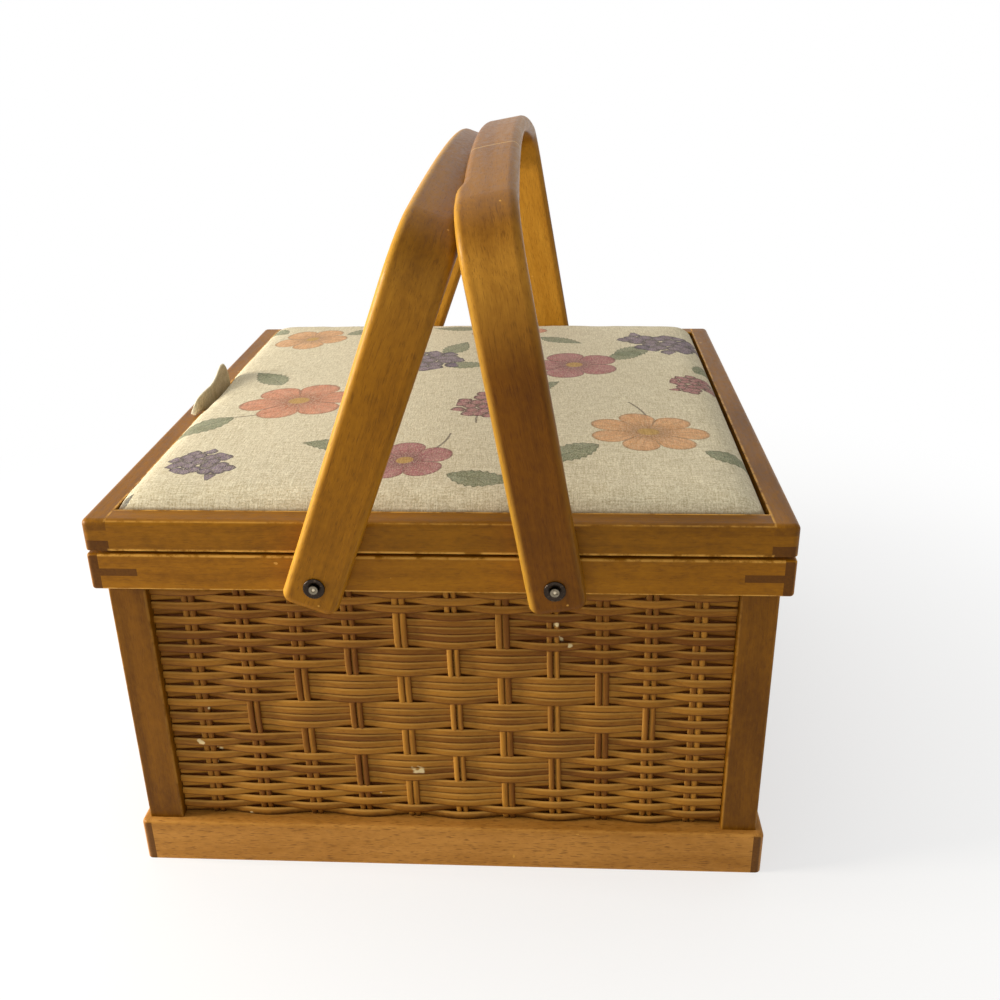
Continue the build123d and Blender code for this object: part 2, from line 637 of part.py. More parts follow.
for name, side, lean in (("handle_left", -1, LEFT_HANDLE_LEAN), ("handle_right", 1, RIGHT_HANDLE_LEAN)):
    turned_about = Location((0, 0, 0), (0, 0, 90 - 90 * side))
    with BuildPart() as handle:
        with Locations(Location((side * PIVOT_X, 0, PIVOT_Z), (0, lean, 0)) * turned_about):
            add(handle_blank.part)
        with Locations(Location((side * PIVOT_X, 0, PIVOT_Z), (90, 0, 0))):
            Cylinder(RIVET_RADIUS + RIVET_CLEARANCE, 2 * HANDLE_OUTER_Y, mode=Mode.SUBTRACT)
    save(handle, name)

# ======== handle pivots ========


def pivot_discs(radius, hole_radius, y_span):
    """Add four discs on the pivot axes, between two distances from the middle of the box."""
    thickness = y_span[1] - y_span[0]
    middle = (y_span[0] + y_span[1]) / 2
    for side in (-1, 1):
        for x in (-PIVOT_X, PIVOT_X):
            with Locations(Location((x, side * middle, PIVOT_Z), (90, 0, 0))):
                Cylinder(radius, thickness)
                if hole_radius:
                    Cylinder(hole_radius, thickness, mode=Mode.SUBTRACT)


WASHER_SPAN = (HANDLE_OUTER_Y + FACE_CLEARANCE, HANDLE_OUTER_Y + FACE_CLEARANCE + WASHER_THICKNESS)
ROLL_SPAN = (WASHER_SPAN[1], WASHER_SPAN[1] + RIVET_ROLL_HEIGHT)

with BuildPart() as handle_spacers:
    pivot_discs(SPACER_RADIUS, RIVET_RADIUS, (HALF_DEPTH, HALF_DEPTH + SPACER_THICKNESS))
save(handle_spacers, "handle_spacers")

with BuildPart() as handle_washers:
    pivot_discs(WASHER_RADIUS, RIVET_RADIUS, WASHER_SPAN)
save(handle_washers, "handle_washers")

with BuildPart() as handle_rivets:
    pivot_discs(RIVET_HEAD_RADIUS, 0, (INNER_Y - RIVET_HEAD_HEIGHT, INNER_Y))
    pivot_discs(RIVET_RADIUS, 0, (INNER_Y, WASHER_SPAN[1]))
    pivot_discs(RIVET_ROLL_RADIUS, 0, ROLL_SPAN)
    for side in (-1, 1):
        for x in (-PIVOT_X, PIVOT_X):
            hollow_y = side * (ROLL_SPAN[1] - RIVET_HOLLOW_DEPTH / 2)
            with Locations(Location((x, hollow_y, PIVOT_Z), (90, 0, 0))):
                Cylinder(RIVET_HOLLOW_RADIUS, RIVET_HOLLOW_DEPTH, mode=Mode.SUBTRACT)
save(handle_rivets, "handle_rivets")
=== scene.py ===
"""Sewing carrier: woven box, hinged frame lid, padded inner lid and two folding handles."""

import json
import math

import bmesh
import bpy
import numpy as np
from mathutils import Matrix, Vector, kdtree, noise


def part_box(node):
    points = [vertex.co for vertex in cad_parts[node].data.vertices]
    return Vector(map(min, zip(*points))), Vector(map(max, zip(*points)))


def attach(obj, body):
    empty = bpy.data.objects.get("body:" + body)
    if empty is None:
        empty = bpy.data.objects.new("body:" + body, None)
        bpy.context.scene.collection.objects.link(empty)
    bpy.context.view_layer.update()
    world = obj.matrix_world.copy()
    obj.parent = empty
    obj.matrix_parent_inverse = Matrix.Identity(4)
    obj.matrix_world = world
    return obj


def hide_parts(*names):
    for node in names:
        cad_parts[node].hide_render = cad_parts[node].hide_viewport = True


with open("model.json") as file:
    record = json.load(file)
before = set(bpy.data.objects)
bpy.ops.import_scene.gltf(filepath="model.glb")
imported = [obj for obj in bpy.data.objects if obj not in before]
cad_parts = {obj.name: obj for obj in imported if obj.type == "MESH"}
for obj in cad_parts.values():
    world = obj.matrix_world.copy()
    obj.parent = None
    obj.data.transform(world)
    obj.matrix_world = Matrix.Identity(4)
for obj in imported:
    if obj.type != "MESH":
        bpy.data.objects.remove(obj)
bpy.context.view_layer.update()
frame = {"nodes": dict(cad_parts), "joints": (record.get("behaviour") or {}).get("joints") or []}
nodes = frame["nodes"]
joint_places = {joint["name"]: Vector(joint["pos_m"]) for joint in frame["joints"]}
SIDES = ("front", "right", "back", "left")
MM = 0.001


def srgb(red, green, blue):
    """Colour of a finish as it looks (0 to 255), turned into the linear values that Blender uses."""
    def linear(value):
        value /= 255
        return value / 12.92 if value <= 0.04045 else ((value + 0.055) / 1.055) ** 2.4
    return (linear(red), linear(green), linear(blue), 1.0)


# ======== wiring nodes ========

FLOAT, VECTOR, COLOUR = "NodeSocketFloat", "NodeSocketVector", "NodeSocketColor"
WHOLE, GEOMETRY, MATERIAL = "NodeSocketInt", "NodeSocketGeometry", "NodeSocketMaterial"


class Wiring:
    """Adds nodes to one shader or geometry tree and joins them."""

    def __init__(self, tree):
        self.tree = tree

    def feed(self, sockets, values):
        """Join each named socket to another node's output, or give it a plain value."""
        for name, value in values.items():
            if isinstance(value, bpy.types.NodeSocket):
                self.tree.links.new(value, sockets[name])
            else:
                sockets[name].default_value = value

    def node(self, kind, values=None, **settings):
        """Add a node with its settings, and feed its inputs."""
        made = self.tree.nodes.new(kind)
        for name, value in settings.items():
            setattr(made, name, value)
        self.feed(made.inputs, values or {})
        return made

    def out(self, kind, values=None, **settings):
        """First output of a new node."""
        return self.node(kind, values, **settings).outputs[0]

    def group(self, tree, values):
        """Outputs of a shader group that is placed in the tree."""
        return self.node("ShaderNodeGroup", values, node_tree=tree).outputs

    def math(self, operation, *values):
        """Arithmetic on one or two numbers."""
        return self.out("ShaderNodeMath", dict(enumerate(values)), operation=operation)

    def fold(self, operation, first, *others):
        """The same arithmetic from number to number."""
        for other in others:
            first = self.math(operation, first, other)
        return first

    def times(self, *values):
        """Product."""
        return self.fold("MULTIPLY", *values)

    def plus(self, *values):
        """Sum."""
        return self.fold("ADD", *values)

    def largest(self, *values):
        """Largest of the numbers."""
        return self.fold("MAXIMUM", *values)

    def minus(self, first, second):
        """Difference."""
        return self.math("SUBTRACT", first, second)

    def over(self, first, second):
        """Quotient."""
        return self.math("DIVIDE", first, second)

    def absolute(self, value):
        """Number without its sign."""
        return self.math("ABSOLUTE", value)

    def weighted(self, *pairs):
        """Sum of numbers, each times its weight."""
        return self.plus(*(self.times(value, weight) for value, weight in pairs))

    def between_0_and_1(self, value):
        """1 where a number lies between 0 and 1, and 0 elsewhere."""
        return self.times(self.math("GREATER_THAN", value, 0), self.math("LESS_THAN", value, 1))

    def vector(self, operation, *values):
        """Arithmetic on vectors."""
        made = self.node("ShaderNodeVectorMath", dict(enumerate(values)), operation=operation)
        return made.outputs["Value" if operation in ("LENGTH", "DISTANCE") else "Vector"]

    def scaled(self, vector, factor):
        """A vector times one number."""
        return self.out("ShaderNodeVectorMath", {0: vector, "Scale": factor}, operation="SCALE")

    def split(self, vector):
        """The three parts of a vector."""
        return self.node("ShaderNodeSeparateXYZ", {0: vector}).outputs

    def join(self, x, y, z):
        """A vector from three parts."""
        return self.out("ShaderNodeCombineXYZ", {0: x, 1: y, 2: z})

    def length(self, x, y):
        """Length of a flat vector."""
        return self.vector("LENGTH", self.join(x, y, 0))

    def facing(self):
        """The three parts of the direction that the surface faces."""
        return self.split(self.node("ShaderNodeTexCoord").outputs["Normal"])

    def noise(self, vector, scale, detail=2, roughness=0.5):
        """Smooth noise from 0 to 1."""
        values = {"Vector": vector, "Scale": scale, "Detail": detail, "Roughness": roughness}
        return self.out("ShaderNodeTexNoise", values)

    def grain(self, vector, scales, detail=2, roughness=0.5):
        """Smooth noise with a scale of its own along each axis."""
        return self.noise(self.vector("MULTIPLY", vector, scales), 1, detail, roughness)

    def colour_noise(self, vector, scale):
        """Smooth noise of three parts, each about 0.5."""
        return self.node("ShaderNodeTexNoise", {"Vector": vector, "Scale": scale}).outputs["Color"]

    def fade(self, value, low, high, to_low=0, to_high=1):
        """Smooth step of a number between two limits."""
        values = {"Value": value, "From Min": low, "From Max": high, "To Min": to_low, "To Max": to_high}
        return self.out("ShaderNodeMapRange", values, interpolation_type="SMOOTHSTEP")

    def mix(self, factor, low, high, blend="MIX"):
        """Mix of two colours."""
        made = self.node("ShaderNodeMix", {0: factor, 6: low, 7: high}, data_type="RGBA", blend_type=blend)
        return made.outputs[2]

    def bump(self, height, strength, distance):
        """Normals of a surface with this height."""
        return self.out("ShaderNodeBump", {"Height": height, "Strength": strength, "Distance": distance})


def new_group(name, takes, gives, kind="ShaderNodeTree"):
    """Wiring, inputs and outputs of a new node group, whose sockets are given by name and type."""
    tree = bpy.data.node_groups.new(name, kind)
    for way, sockets in (("INPUT", takes), ("OUTPUT", gives)):
        for label, socket in sockets.items():
            tree.interface.new_socket(label, in_out=way, socket_type=socket)
    wiring = Wiring(tree)
    return wiring, wiring.node("NodeGroupInput").outputs, wiring.node("NodeGroupOutput").inputs


def new_material(name):
    """New material with its wiring, the sockets of its surface and the place on the piece."""
    made = bpy.data.materials.new(name)
    made.use_nodes = True
    wiring = Wiring(made.node_tree)
    surface = made.node_tree.nodes["Principled BSDF"].inputs
    return made, wiring, surface, wiring.node("ShaderNodeTexCoord").outputs["Object"]


def lengthways(w, place, axis):
    """The place with X along a chosen axis."""
    x, y, z = w.split(place)
    return w.join(*{"X": (x, y, z), "Y": (y, x, z), "Z": (z, y, x)}[axis])


# ======== making pieces ========


def link(name, data):
    """Put a mesh, lamp or camera in the scene."""
    made = bpy.data.objects.new(name, data)
    bpy.context.scene.collection.objects.link(made)
    return made


def new_mesh(name, points, edges, faces):
    """Mesh from its points, edges and faces."""
    mesh = bpy.data.meshes.new(name)
    mesh.from_pydata(points, edges, faces)
    return mesh


def apply_modifiers(piece):
    """Turn what the modifiers give into the piece's own mesh."""
    graph = bpy.context.evaluated_depsgraph_get()
    made = bpy.data.meshes.new_from_object(piece.evaluated_get(graph))
    piece.modifiers.clear()
    piece.data = made


def from_tree(name, mesh, tree, values):
    """Piece that a geometry tree makes from a mesh."""
    piece = link(name, mesh)
    modifier = piece.modifiers.new("tree", "NODES")
    modifier.node_group = tree
    for item in tree.interface.items_tree:
        if item.name in values and item.in_out == "INPUT":
            modifier[item.identifier] = values[item.name]
    apply_modifiers(piece)
    return piece


def dress_tree(w, geometry, inputs, outputs):
    """End of a geometry tree: one smooth mesh in the material that is given."""
    whole = w.out("GeometryNodeRealizeInstances", {"Geometry": geometry})
    smooth = w.out("GeometryNodeSetShadeSmooth", {"Geometry": whole})
    dressed = w.out("GeometryNodeSetMaterial", {"Geometry": smooth, "Material": inputs["Material"]})
    w.feed(outputs, {"Geometry": dressed})
    return w.tree


def set_material(piece, material):
    """Give a piece one material."""
    piece.data.materials.clear()
    piece.data.materials.append(material)


# ======== lacquered beech ========

LACQUER = {"Coat Weight": 0.04, "Coat Roughness": 0.28, "Specular IOR Level": 0.1}
GRAIN_BUMP = 0.3 * MM
PALE_EDGE_WIDTH = 1.3 * MM
LID_FINGER_FADE = (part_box("lid_left")[0].z + 5 * MM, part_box("lid_left")[0].z + 9 * MM)

HANDLE_BEND = 0.028
HANDLE_REACH = 0.1715
HANDLE_ARCH = 0.663
HANDLE_LEANS = {"left": math.radians(20.4), "right": math.radians(-9.9)}
# Painted reflection: the place across each handle's top of a thin pale line, where its sheen changes.
REFLECTION_LINE_PLACES = {"left": 0.4, "right": -0.069}

# Tones of wood as pairs: the pale bands and the deep ones.
HONEY = (srgb(130, 82, 10), srgb(90, 52, 1))
# Painted shade and light on the handles: tones of the lower legs, darkened on the right handle as painted
# shade, and of the upper arch, lightened as painted light.
LEG_SHADE_TONES = {
    "left": (srgb(158, 104, 14), srgb(112, 68, 2)),
    "right": (srgb(124, 74, 4), srgb(84, 46, 1)),
}
LIT_GRIP_TONES = {
    "left": (srgb(166, 114, 30), srgb(120, 76, 12)),
    "right": (srgb(200, 142, 48), srgb(152, 100, 24)),
}
# Painted light: brighter tones for the handles' faces that are turned inwards.
LIT_INNER_FACE = (srgb(198, 142, 46), srgb(160, 106, 26))
PANEL = (srgb(190, 146, 90), srgb(154, 108, 58))
# Painted highlight along the handles' rounded edges.
EDGE_HIGHLIGHT_GOLD = srgb(222, 166, 58)
# For each family of rails: tones, how strongly the edges are rubbed pale (on the rim and lid this also
# paints a highlight along their lit edges), and how many flecks show.
RAILS = {
    "base": ((srgb(190, 134, 62), srgb(154, 102, 36)), 0.35, 0.55),
    "rim": ((srgb(164, 107, 14), srgb(116, 70, 3)), 1.5, 0.22),
    "lid": ((srgb(151, 98, 10), srgb(105, 64, 2)), 1.2, 0.22),
    "ledge": (HONEY, 0.4, 0.25),
}


def make_beech_group():
    """Beech under honey lacquer. Its Vector has the grain along X, in metres."""
    takes = {"Vector": VECTOR, "Pale": COLOUR, "Deep": COLOUR}
    takes.update({"End grain": FLOAT, "Edge": FLOAT, "Cloud": FLOAT, "Fleck": FLOAT})
    gives = {"Colour": COLOUR, "Roughness": FLOAT, "Height": FLOAT}
    w, inputs, outputs = new_group("lacquered_beech", takes, gives)
    waver = w.scaled(w.colour_noise(inputs["Vector"], 18), 6 * MM)
    place = w.vector("ADD", inputs["Vector"], waver)
    bands = w.grain(place, (5, 150, 150), 3, 0.55)
    fibres = w.grain(place, (55, 1500, 1500), 2, 0.6)
    flecks = w.fade(w.grain(place, (210, 2400, 2400), 1), 0.58, 0.7)
    cloud = w.grain(place, (16, 45, 45), 3)
    mottle = w.grain(place, (230, 420, 420), 3, 0.65)
    figure = w.weighted((bands, 0.42), (fibres, 0.16), (cloud, inputs["Cloud"]), (mottle, 0.34))
    colour = w.mix(w.fade(figure, 0.44, 0.98), inputs["Deep"], inputs["Pale"])
    colour = w.mix(w.times(flecks, inputs["Fleck"]), colour, srgb(66, 30, 4))
    end_dark = w.mix(w.noise(place, 900), srgb(56, 28, 4), srgb(92, 52, 10))
    colour = w.mix(w.times(inputs["End grain"], 0.8), colour, end_dark)
    # Pale edges: partly rubbed wear, partly a painted highlight where an edge catches the light.
    rubbed_and_lit = w.times(inputs["Edge"], w.fade(w.noise(place, 160, 4, 0.7), 0.34, 0.58))
    nicks = w.fade(w.noise(place, 190, 1), 0.79, 0.81)
    pale_marks = w.largest(w.times(rubbed_and_lit, 0.8), w.times(nicks, 0.7))
    w.feed(outputs, {
        "Colour": w.mix(pale_marks, colour, srgb(206, 152, 66)),
        "Roughness": w.fade(mottle, 0.3, 0.7, 0.34, 0.47),
        "Height": w.weighted((fibres, 0.5), (flecks, -0.8), (cloud, 0.9)),
    })
    return w.tree


BEECH = make_beech_group()


def edge_mask(w, place, node, grain):
    """1 close to a timber's long edges, where both of its faces meet."""
    to_faces = [
        w.minus((high - low) / 2, w.absolute(w.minus(part, (low + high) / 2)))
        for axis, part, low, high in zip("XYZ", w.split(place), *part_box(node))
        if axis != grain
    ]
    return w.fade(w.largest(*to_faces), 0.3 * PALE_EDGE_WIDTH, PALE_EDGE_WIDTH, 1, 0)


def beech_material(name, node, grain, tones, cloud=0.5, shift=0.0, fleck=0.25, rub_and_highlight=0.3):
    """Lacquered beech on a straight piece whose grain runs along X, Y or Z."""
    made, w, surface, place = new_material(name)
    end_grain = w.fade(w.absolute(w.facing()["XYZ".index(grain)]), 0.75, 0.95)
    if node.startswith("lid_"):
        end_grain = w.times(end_grain, w.fade(w.split(place)[2], *LID_FINGER_FADE, 1, 0.35))
    wood = w.group(BEECH, {
        "Vector": w.vector("ADD", lengthways(w, place, grain), (shift, shift * 0.7, shift * 0.3)),
        "Pale": tones[0],
        "Deep": tones[1],
        "End grain": end_grain,
        "Edge": w.times(edge_mask(w, place, node, grain), rub_and_highlight),
        "Cloud": cloud,
        "Fleck": fleck,
    })
    normal = w.bump(wood["Height"], 0.25, GRAIN_BUMP)
    looks = {"Base Color": wood["Colour"], "Roughness": wood["Roughness"], "Normal": normal}
    w.feed(surface, {**looks, **LACQUER})
    return made


def bent_material(side):
    """Lacquered beech whose grain follows a bent handle up one leg, over the top and down the other."""
    made, w, surface, place = new_material(f"bent_beech_{side}")
    from_pivot = w.vector("SUBTRACT", place, joint_places[f"{side}_handle_pivot"])
    upright = w.out("ShaderNodeMapping", {"Vector": from_pivot, "Rotation": (0, -HANDLE_LEANS[side], 0)})
    x, y, z = w.split(upright)
    across = w.absolute(y)
    rise = w.plus(z, w.times(y, y, HANDLE_ARCH))
    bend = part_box("handle_left")[1].y - HANDLE_BEND
    beyond_y = w.largest(w.minus(across, bend), 0)
    beyond_z = w.largest(w.minus(rise, HANDLE_REACH - HANDLE_BEND), 0)
    # Painted light on the faces turned inwards.
    inner = w.fade(w.times(w.math("SIGN", y), w.facing()[1]), -0.75, -0.3, 1, 0)
    # Painted light: lighter where the legs rise into the arch, less so at its very top.
    lit_rise = w.times(w.fade(z, 0.09, 0.14), w.fade(rise, 0.15, 0.168, 1, 0.35))
    # Painted highlight: a strong golden band on the left edge, which faces the lamp, and a faint one on the
    # right.
    left_edge_highlight = w.fade(x, -12 * MM, -8.6 * MM, 0.6, 0)
    right_edge_highlight = w.fade(x, 9.4 * MM, 12 * MM, 0, 0.12)
    edge_highlight_mask = w.largest(left_edge_highlight, right_edge_highlight)
    pale, deep = (
        w.mix(edge_highlight_mask, w.mix(inner, w.mix(lit_rise, leg, grip), face), EDGE_HIGHLIGHT_GOLD)
        for leg, grip, face in zip(LEG_SHADE_TONES[side], LIT_GRIP_TONES[side], LIT_INNER_FACE)
    )
    vector = w.join(w.minus(z, across), x, w.length(beyond_y, beyond_z))
    wood = w.group(BEECH, {"Vector": vector, "Pale": pale, "Deep": deep, "Cloud": 0.5, "Fleck": 0.32})
    # Painted reflection: a thin wavering pale line across the handle's top.
    waver = w.times(w.noise(place, 90, 3), 4 * MM)
    off_reflection_line = w.absolute(w.plus(w.minus(y, REFLECTION_LINE_PLACES[side]), waver))
    reflection_line = w.fade(off_reflection_line, 0.2 * MM, 0.8 * MM, 0.7, 0)
    w.feed(surface, {
        "Base Color": w.mix(reflection_line, wood["Colour"], srgb(214, 172, 100)),
        "Roughness": wood["Roughness"],
        "Normal": w.bump(wood["Height"], 0.28, GRAIN_BUMP),
        **LACQUER,
    })
    return made


def dress_timber():
    """Give every CAD timber its own beech, with the grain along its length."""
    for family, (tones, rub_and_highlight, fleck) in RAILS.items():
        for number, side in enumerate(("front", "back", "left", "right")):
            name = f"{family}_{side}"
            if name in nodes:
                grain = "X" if side in ("front", "back") else "Y"
                details = {"shift": 0.13 * number, "fleck": fleck, "rub_and_highlight": rub_and_highlight}
                set_material(nodes[name], beech_material(f"beech_{name}", name, grain, tones, **details))
    for number, corner in enumerate(("left_front", "left_back", "right_front", "right_back")):
        name = f"post_{corner}"
        set_material(nodes[name], beech_material(f"beech_{name}", name, "Z", HONEY, shift=0.21 * number))
    for side in ("left", "right"):
        set_material(nodes[f"handle_{side}"], bent_material(side))
    for name, grain in (("post_dowels", "Z"), ("floor_board", "X"), ("pad_board", "X")):
        set_material(nodes[name], beech_material(f"panel_{name}", name, grain, PANEL, cloud=0.3))


# ======== reed weave ========

STAKE_PAIRS = 11
STAKE_WIDTH = 3.1 * MM
STAKE_THICKNESS = 2.3 * MM
STAKE_SPACING = 3.12 * MM
STAKE_MARGIN = 16.2 * MM
STAKE_GIVE = 0.6 * MM
STAKE_FOOT_TUCK = 1.0 * MM
TUCKED_ROWS = 3
STRAND_ROWS = 35
STRAND_THICKNESS = 1.7 * MM
STRAND_BREADTH = 1.04
STRANDS_PER_BLOCK = 4
BLOCK_ROWS = 7
PLAIN_ROWS_BELOW = 2
PLAIN_SWELL = 0.14
BLOCK_SWELL = 0.02
BLOCK_SLIMMING = 0.03
BLOCK_FAN = 0.06
PLAIN_SWING = 1.25 * MM
BLOCK_SWING = 0.9 * MM
END_SWING = 0.25
# The pairs drift to the right along the wall, more at its foot than at its top.
TOP_DRIFT = 4.2 * MM
FOOT_DRIFT = 6.5 * MM
DRIFT_MIDDLE = 0.6
DRIFT_REACH = 5.2
STEPS_PER_PAIR = 12
REED_SIDES = 12
RIPPLE_SCALE = 22
STRAND_UNEVENNESS = 0.25 * MM
STAKE_UNEVENNESS = 0.22 * MM
STRAND_SEED = 11
STAKE_SEED = 31


def make_reed_group():
    """Split rattan: pale lengthwise fibres, dark specks and a varied tone for each reed, with a painted
    highlight on the side facing the light, painted shade on the side turned away, and darker towards the
    wall's foot.
    """
    takes = {"Vector": VECTOR, "Tone": FLOAT, "Facing light": FLOAT, "Darker at foot": FLOAT}
    gives = {"Colour": COLOUR, "Roughness": FLOAT, "Height": FLOAT}
    w, inputs, outputs = new_group("varnished_reed", takes, gives)
    place = inputs["Vector"]
    fibres = w.grain(place, (45, 2200, 2200), 2, 0.6)
    patches = w.grain(place, (30, 60, 60), 3, 0.6)
    specks = w.fade(w.grain(place, (500, 1100, 1100), 1), 0.68, 0.76)
    figure = w.weighted((fibres, 0.45), (patches, 0.45), (inputs["Tone"], 0.4))
    colour = w.mix(w.fade(figure, 0.36, 0.96), srgb(104, 60, 12), srgb(164, 112, 38))
    colour = w.mix(w.times(specks, 0.35), colour, srgb(66, 34, 6))
    # Painted highlight on the side facing the light, and painted shade on the side turned away.
    colour = w.mix(w.fade(inputs["Facing light"], 0.2, 0.8, 0, 0.6), colour, srgb(206, 156, 78))
    colour = w.mix(w.fade(inputs["Facing light"], -0.1, -0.65, 0, 0.85), colour, srgb(88, 42, 10))
    # Darker towards the foot of the wall.
    colour = w.mix(inputs["Darker at foot"], colour, srgb(58, 34, 14))
    glue = w.fade(w.noise(place, 70, 3), 0.72, 0.74)
    w.feed(outputs, {
        "Colour": w.mix(w.times(glue, 0.75), colour, srgb(232, 212, 160)),
        "Roughness": w.fade(patches, 0.3, 0.7, 0.42, 0.6),
        "Height": fibres,
    })
    return w.tree


REED = make_reed_group()


def reed_material(name, axis):
    """Varnished reed that runs along X, Y or Z."""
    made, w, surface, place = new_material(name)
    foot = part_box("wall_board_front")[0].z
    # Darker towards the foot of the wall, with a ragged edge.
    foot_darkening = w.plus(w.split(place)[2], w.times(w.noise(place, 260, 3), 3 * MM))
    reed = w.group(REED, {
        "Vector": lengthways(w, place, axis),
        "Tone": w.node("ShaderNodeAttribute", attribute_name="reed_tone").outputs["Fac"],
        # Stakes count their left side as facing the light, and strands their top.
        "Facing light": w.times(w.facing()[0], -0.6) if axis == "Z" else w.facing()[2],
        "Darker at foot": w.fade(foot_darkening, foot + 2.2 * MM, foot + 4.4 * MM, 0.75, 0),
    })
    w.feed(surface, {
        "Base Color": reed["Colour"],
        "Roughness": reed["Roughness"],
        "Specular IOR Level": 0.1,
        "Normal": w.bump(reed["Height"], 0.35, 0.2 * MM),
    })
    return made


def dark_board_material():
    """Dark stained board behind the weave."""
    made, w, surface, place = new_material("dark_lining")
    mottle = w.noise(place, 60, 3)
    w.feed(surface, {
        "Base Color": w.mix(mottle, srgb(140, 74, 24), srgb(174, 104, 40)),
        "Roughness": w.fade(mottle, 0.3, 0.7, 0.6, 0.8),
        "Normal": w.bump(w.noise(place, 900), 0.2, 0.2 * MM),
    })
    return made


def make_reed_sweep():
    """Geometry tree: sweeps an oval reed along each route, with slight unevenness and a tone of its own."""
    takes = {"Geometry": GEOMETRY, "Width": FLOAT, "Thickness": FLOAT, "Unevenness": FLOAT}
    takes.update({"Flat": "NodeSocketBool", "Seed": WHOLE, "Material": MATERIAL})
    w, inputs, outputs = new_group("reed_sweep", takes, {"Geometry": GEOMETRY}, "GeometryNodeTree")
    route = w.out("GeometryNodeMeshToCurve", {"Mesh": inputs["Geometry"]})
    tone = w.node("FunctionNodeRandomValue", {"Seed": inputs["Seed"]}).outputs[1]
    values = {"Geometry": route, "Name": "reed_tone", "Value": tone}
    toned = w.out("GeometryNodeStoreNamedAttribute", values, data_type="FLOAT", domain="CURVE")
    seed_shift = w.scaled(w.join(inputs["Seed"], 0, 0), 3.7)
    place = w.vector("ADD", w.out("GeometryNodeInputPosition"), seed_shift)
    ripple = w.vector("SUBTRACT", w.colour_noise(place, RIPPLE_SCALE), (0.5, 0.5, 0.5))
    shift = w.scaled(w.scaled(ripple, inputs["Unevenness"]), 2)
    moved = w.out("GeometryNodeSetPosition", {"Geometry": toned, "Offset": shift})
    level = w.out("GeometryNodeSetCurveNormal", {0: moved}, mode="Z_UP")
    choice = {"Switch": inputs["Flat"], "False": moved, "True": level}
    upright = w.out("GeometryNodeSwitch", choice, input_type="GEOMETRY")
    ring = w.out("GeometryNodeCurvePrimitiveCircle", {"Resolution": REED_SIDES, "Radius": 0.5})
    section = w.join(inputs["Thickness"], inputs["Width"], 1)
    oval = w.out("GeometryNodeTransform", {"Geometry": ring, "Scale": section})
    swell = w.out("GeometryNodeInputNamedAttribute", {"Name": "swell"}, data_type="FLOAT")
    values = {"Curve": upright, "Profile Curve": oval, "Scale": swell, "Fill Caps": True}
    return dress_tree(w, w.out("GeometryNodeCurveToMesh", values), inputs, outputs)


def block_spare(row, pair):
    """How many pairs a place is from the edge of the diamond of blocks: 0 at its edge, less outside."""
    block_row = (row - PLAIN_ROWS_BELOW) // STRANDS_PER_BLOCK
    from_middle_row = abs(block_row - BLOCK_ROWS // 2)
    if from_middle_row > BLOCK_ROWS // 2:
        return -1
    return BLOCK_ROWS // 2 + 1 - from_middle_row - abs(pair - STAKE_PAIRS // 2)


def strand_is_outside(row, pair):
    """True where strand number row (0 at the bottom) passes outside stake pair number pair."""
    from_middle = pair - STAKE_PAIRS // 2
    block_row = (row - PLAIN_ROWS_BELOW) // STRANDS_PER_BLOCK
    block_is_outside = (from_middle + block_row) % 2 == 0
    if block_spare(row, pair) >= int(block_is_outside):
        return block_is_outside
    return (from_middle + row) % 2 == 0


class Wall:
    """Sizes of one woven wall, read from its CAD nodes. Along runs rightwards as seen from outside."""

    def __init__(self, side):
        self.turn = Matrix.Rotation(math.radians(90 * SIDES.index(side)), 3, "Z")
        low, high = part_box(f"strands_{side}")
        span = (high.x - low.x, high.y - low.y)
        self.length, self.depth = span if side in ("front", "back") else span[::-1]
        self.outer = min((self.turn.transposed() @ corner).y for corner in (low, high))
        self.bottom, self.top = (corner.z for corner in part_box(f"wall_board_{side}"))
        self.row_height = (self.top - self.bottom) / STRAND_ROWS

    def level(self, rows):
        """Height of a number of rows above the wall's foot."""
        return self.bottom + self.row_height * rows

    def place(self, along, inwards, height):
        """Point of the wall in the carrier's frame."""
        return self.turn @ Vector((along, self.outer + inwards, height))

    def pairs(self, height):
        """Places of the stake pairs along the wall at a height, with one more beyond either end."""
        first = -self.length / 2 + STAKE_MARGIN
        pitch = -2 * first / (STAKE_PAIRS - 1)
        share = (height - self.bottom) / (self.top - self.bottom)
        drift = FOOT_DRIFT + (TOP_DRIFT - FOOT_DRIFT) * share
        places = []
        for number in range(-1, STAKE_PAIRS + 1):
            from_middle = number - (STAKE_PAIRS - 1) / 2
            bulge = max(0.0, 1 - ((from_middle - DRIFT_MIDDLE) / DRIFT_REACH) ** 2)
            places.append(first + pitch * number + drift * bulge)
        return places


def lines_mesh(routes, swells):
    """Mesh of open lines, with the swell of each point as an attribute."""
    points = [point for route in routes for point in route]
    edges, start = [], 0
    for route in routes:
        edges += [(start + i, start + i + 1) for i in range(len(route) - 1)]
        start += len(route)
    mesh = new_mesh("routes", points, edges, [])
    swell = mesh.attributes.new("swell", "FLOAT", "POINT")
    swell.data.foreach_set("value", [value for values in swells for value in values])
    return mesh


def strand_bends(row):
    """How a strand passes each pair: from 1 outside to -1 inside, its outward place, and 1 in a block."""
    shares, swings, grouped = [], [], []
    for pair in range(STAKE_PAIRS):
        in_block = block_spare(row, pair) >= 0
        shares.append(1.0 if strand_is_outside(row, pair) else -1.0)
        swings.append(shares[-1] * (BLOCK_SWING if in_block else PLAIN_SWING))
        grouped.append(1.0 if in_block else 0.0)
    ends = ((shares, END_SWING), (swings, END_SWING), (grouped, 0.0))
    return [[end * values[0], *values, end * values[-1]] for values, end in ends]


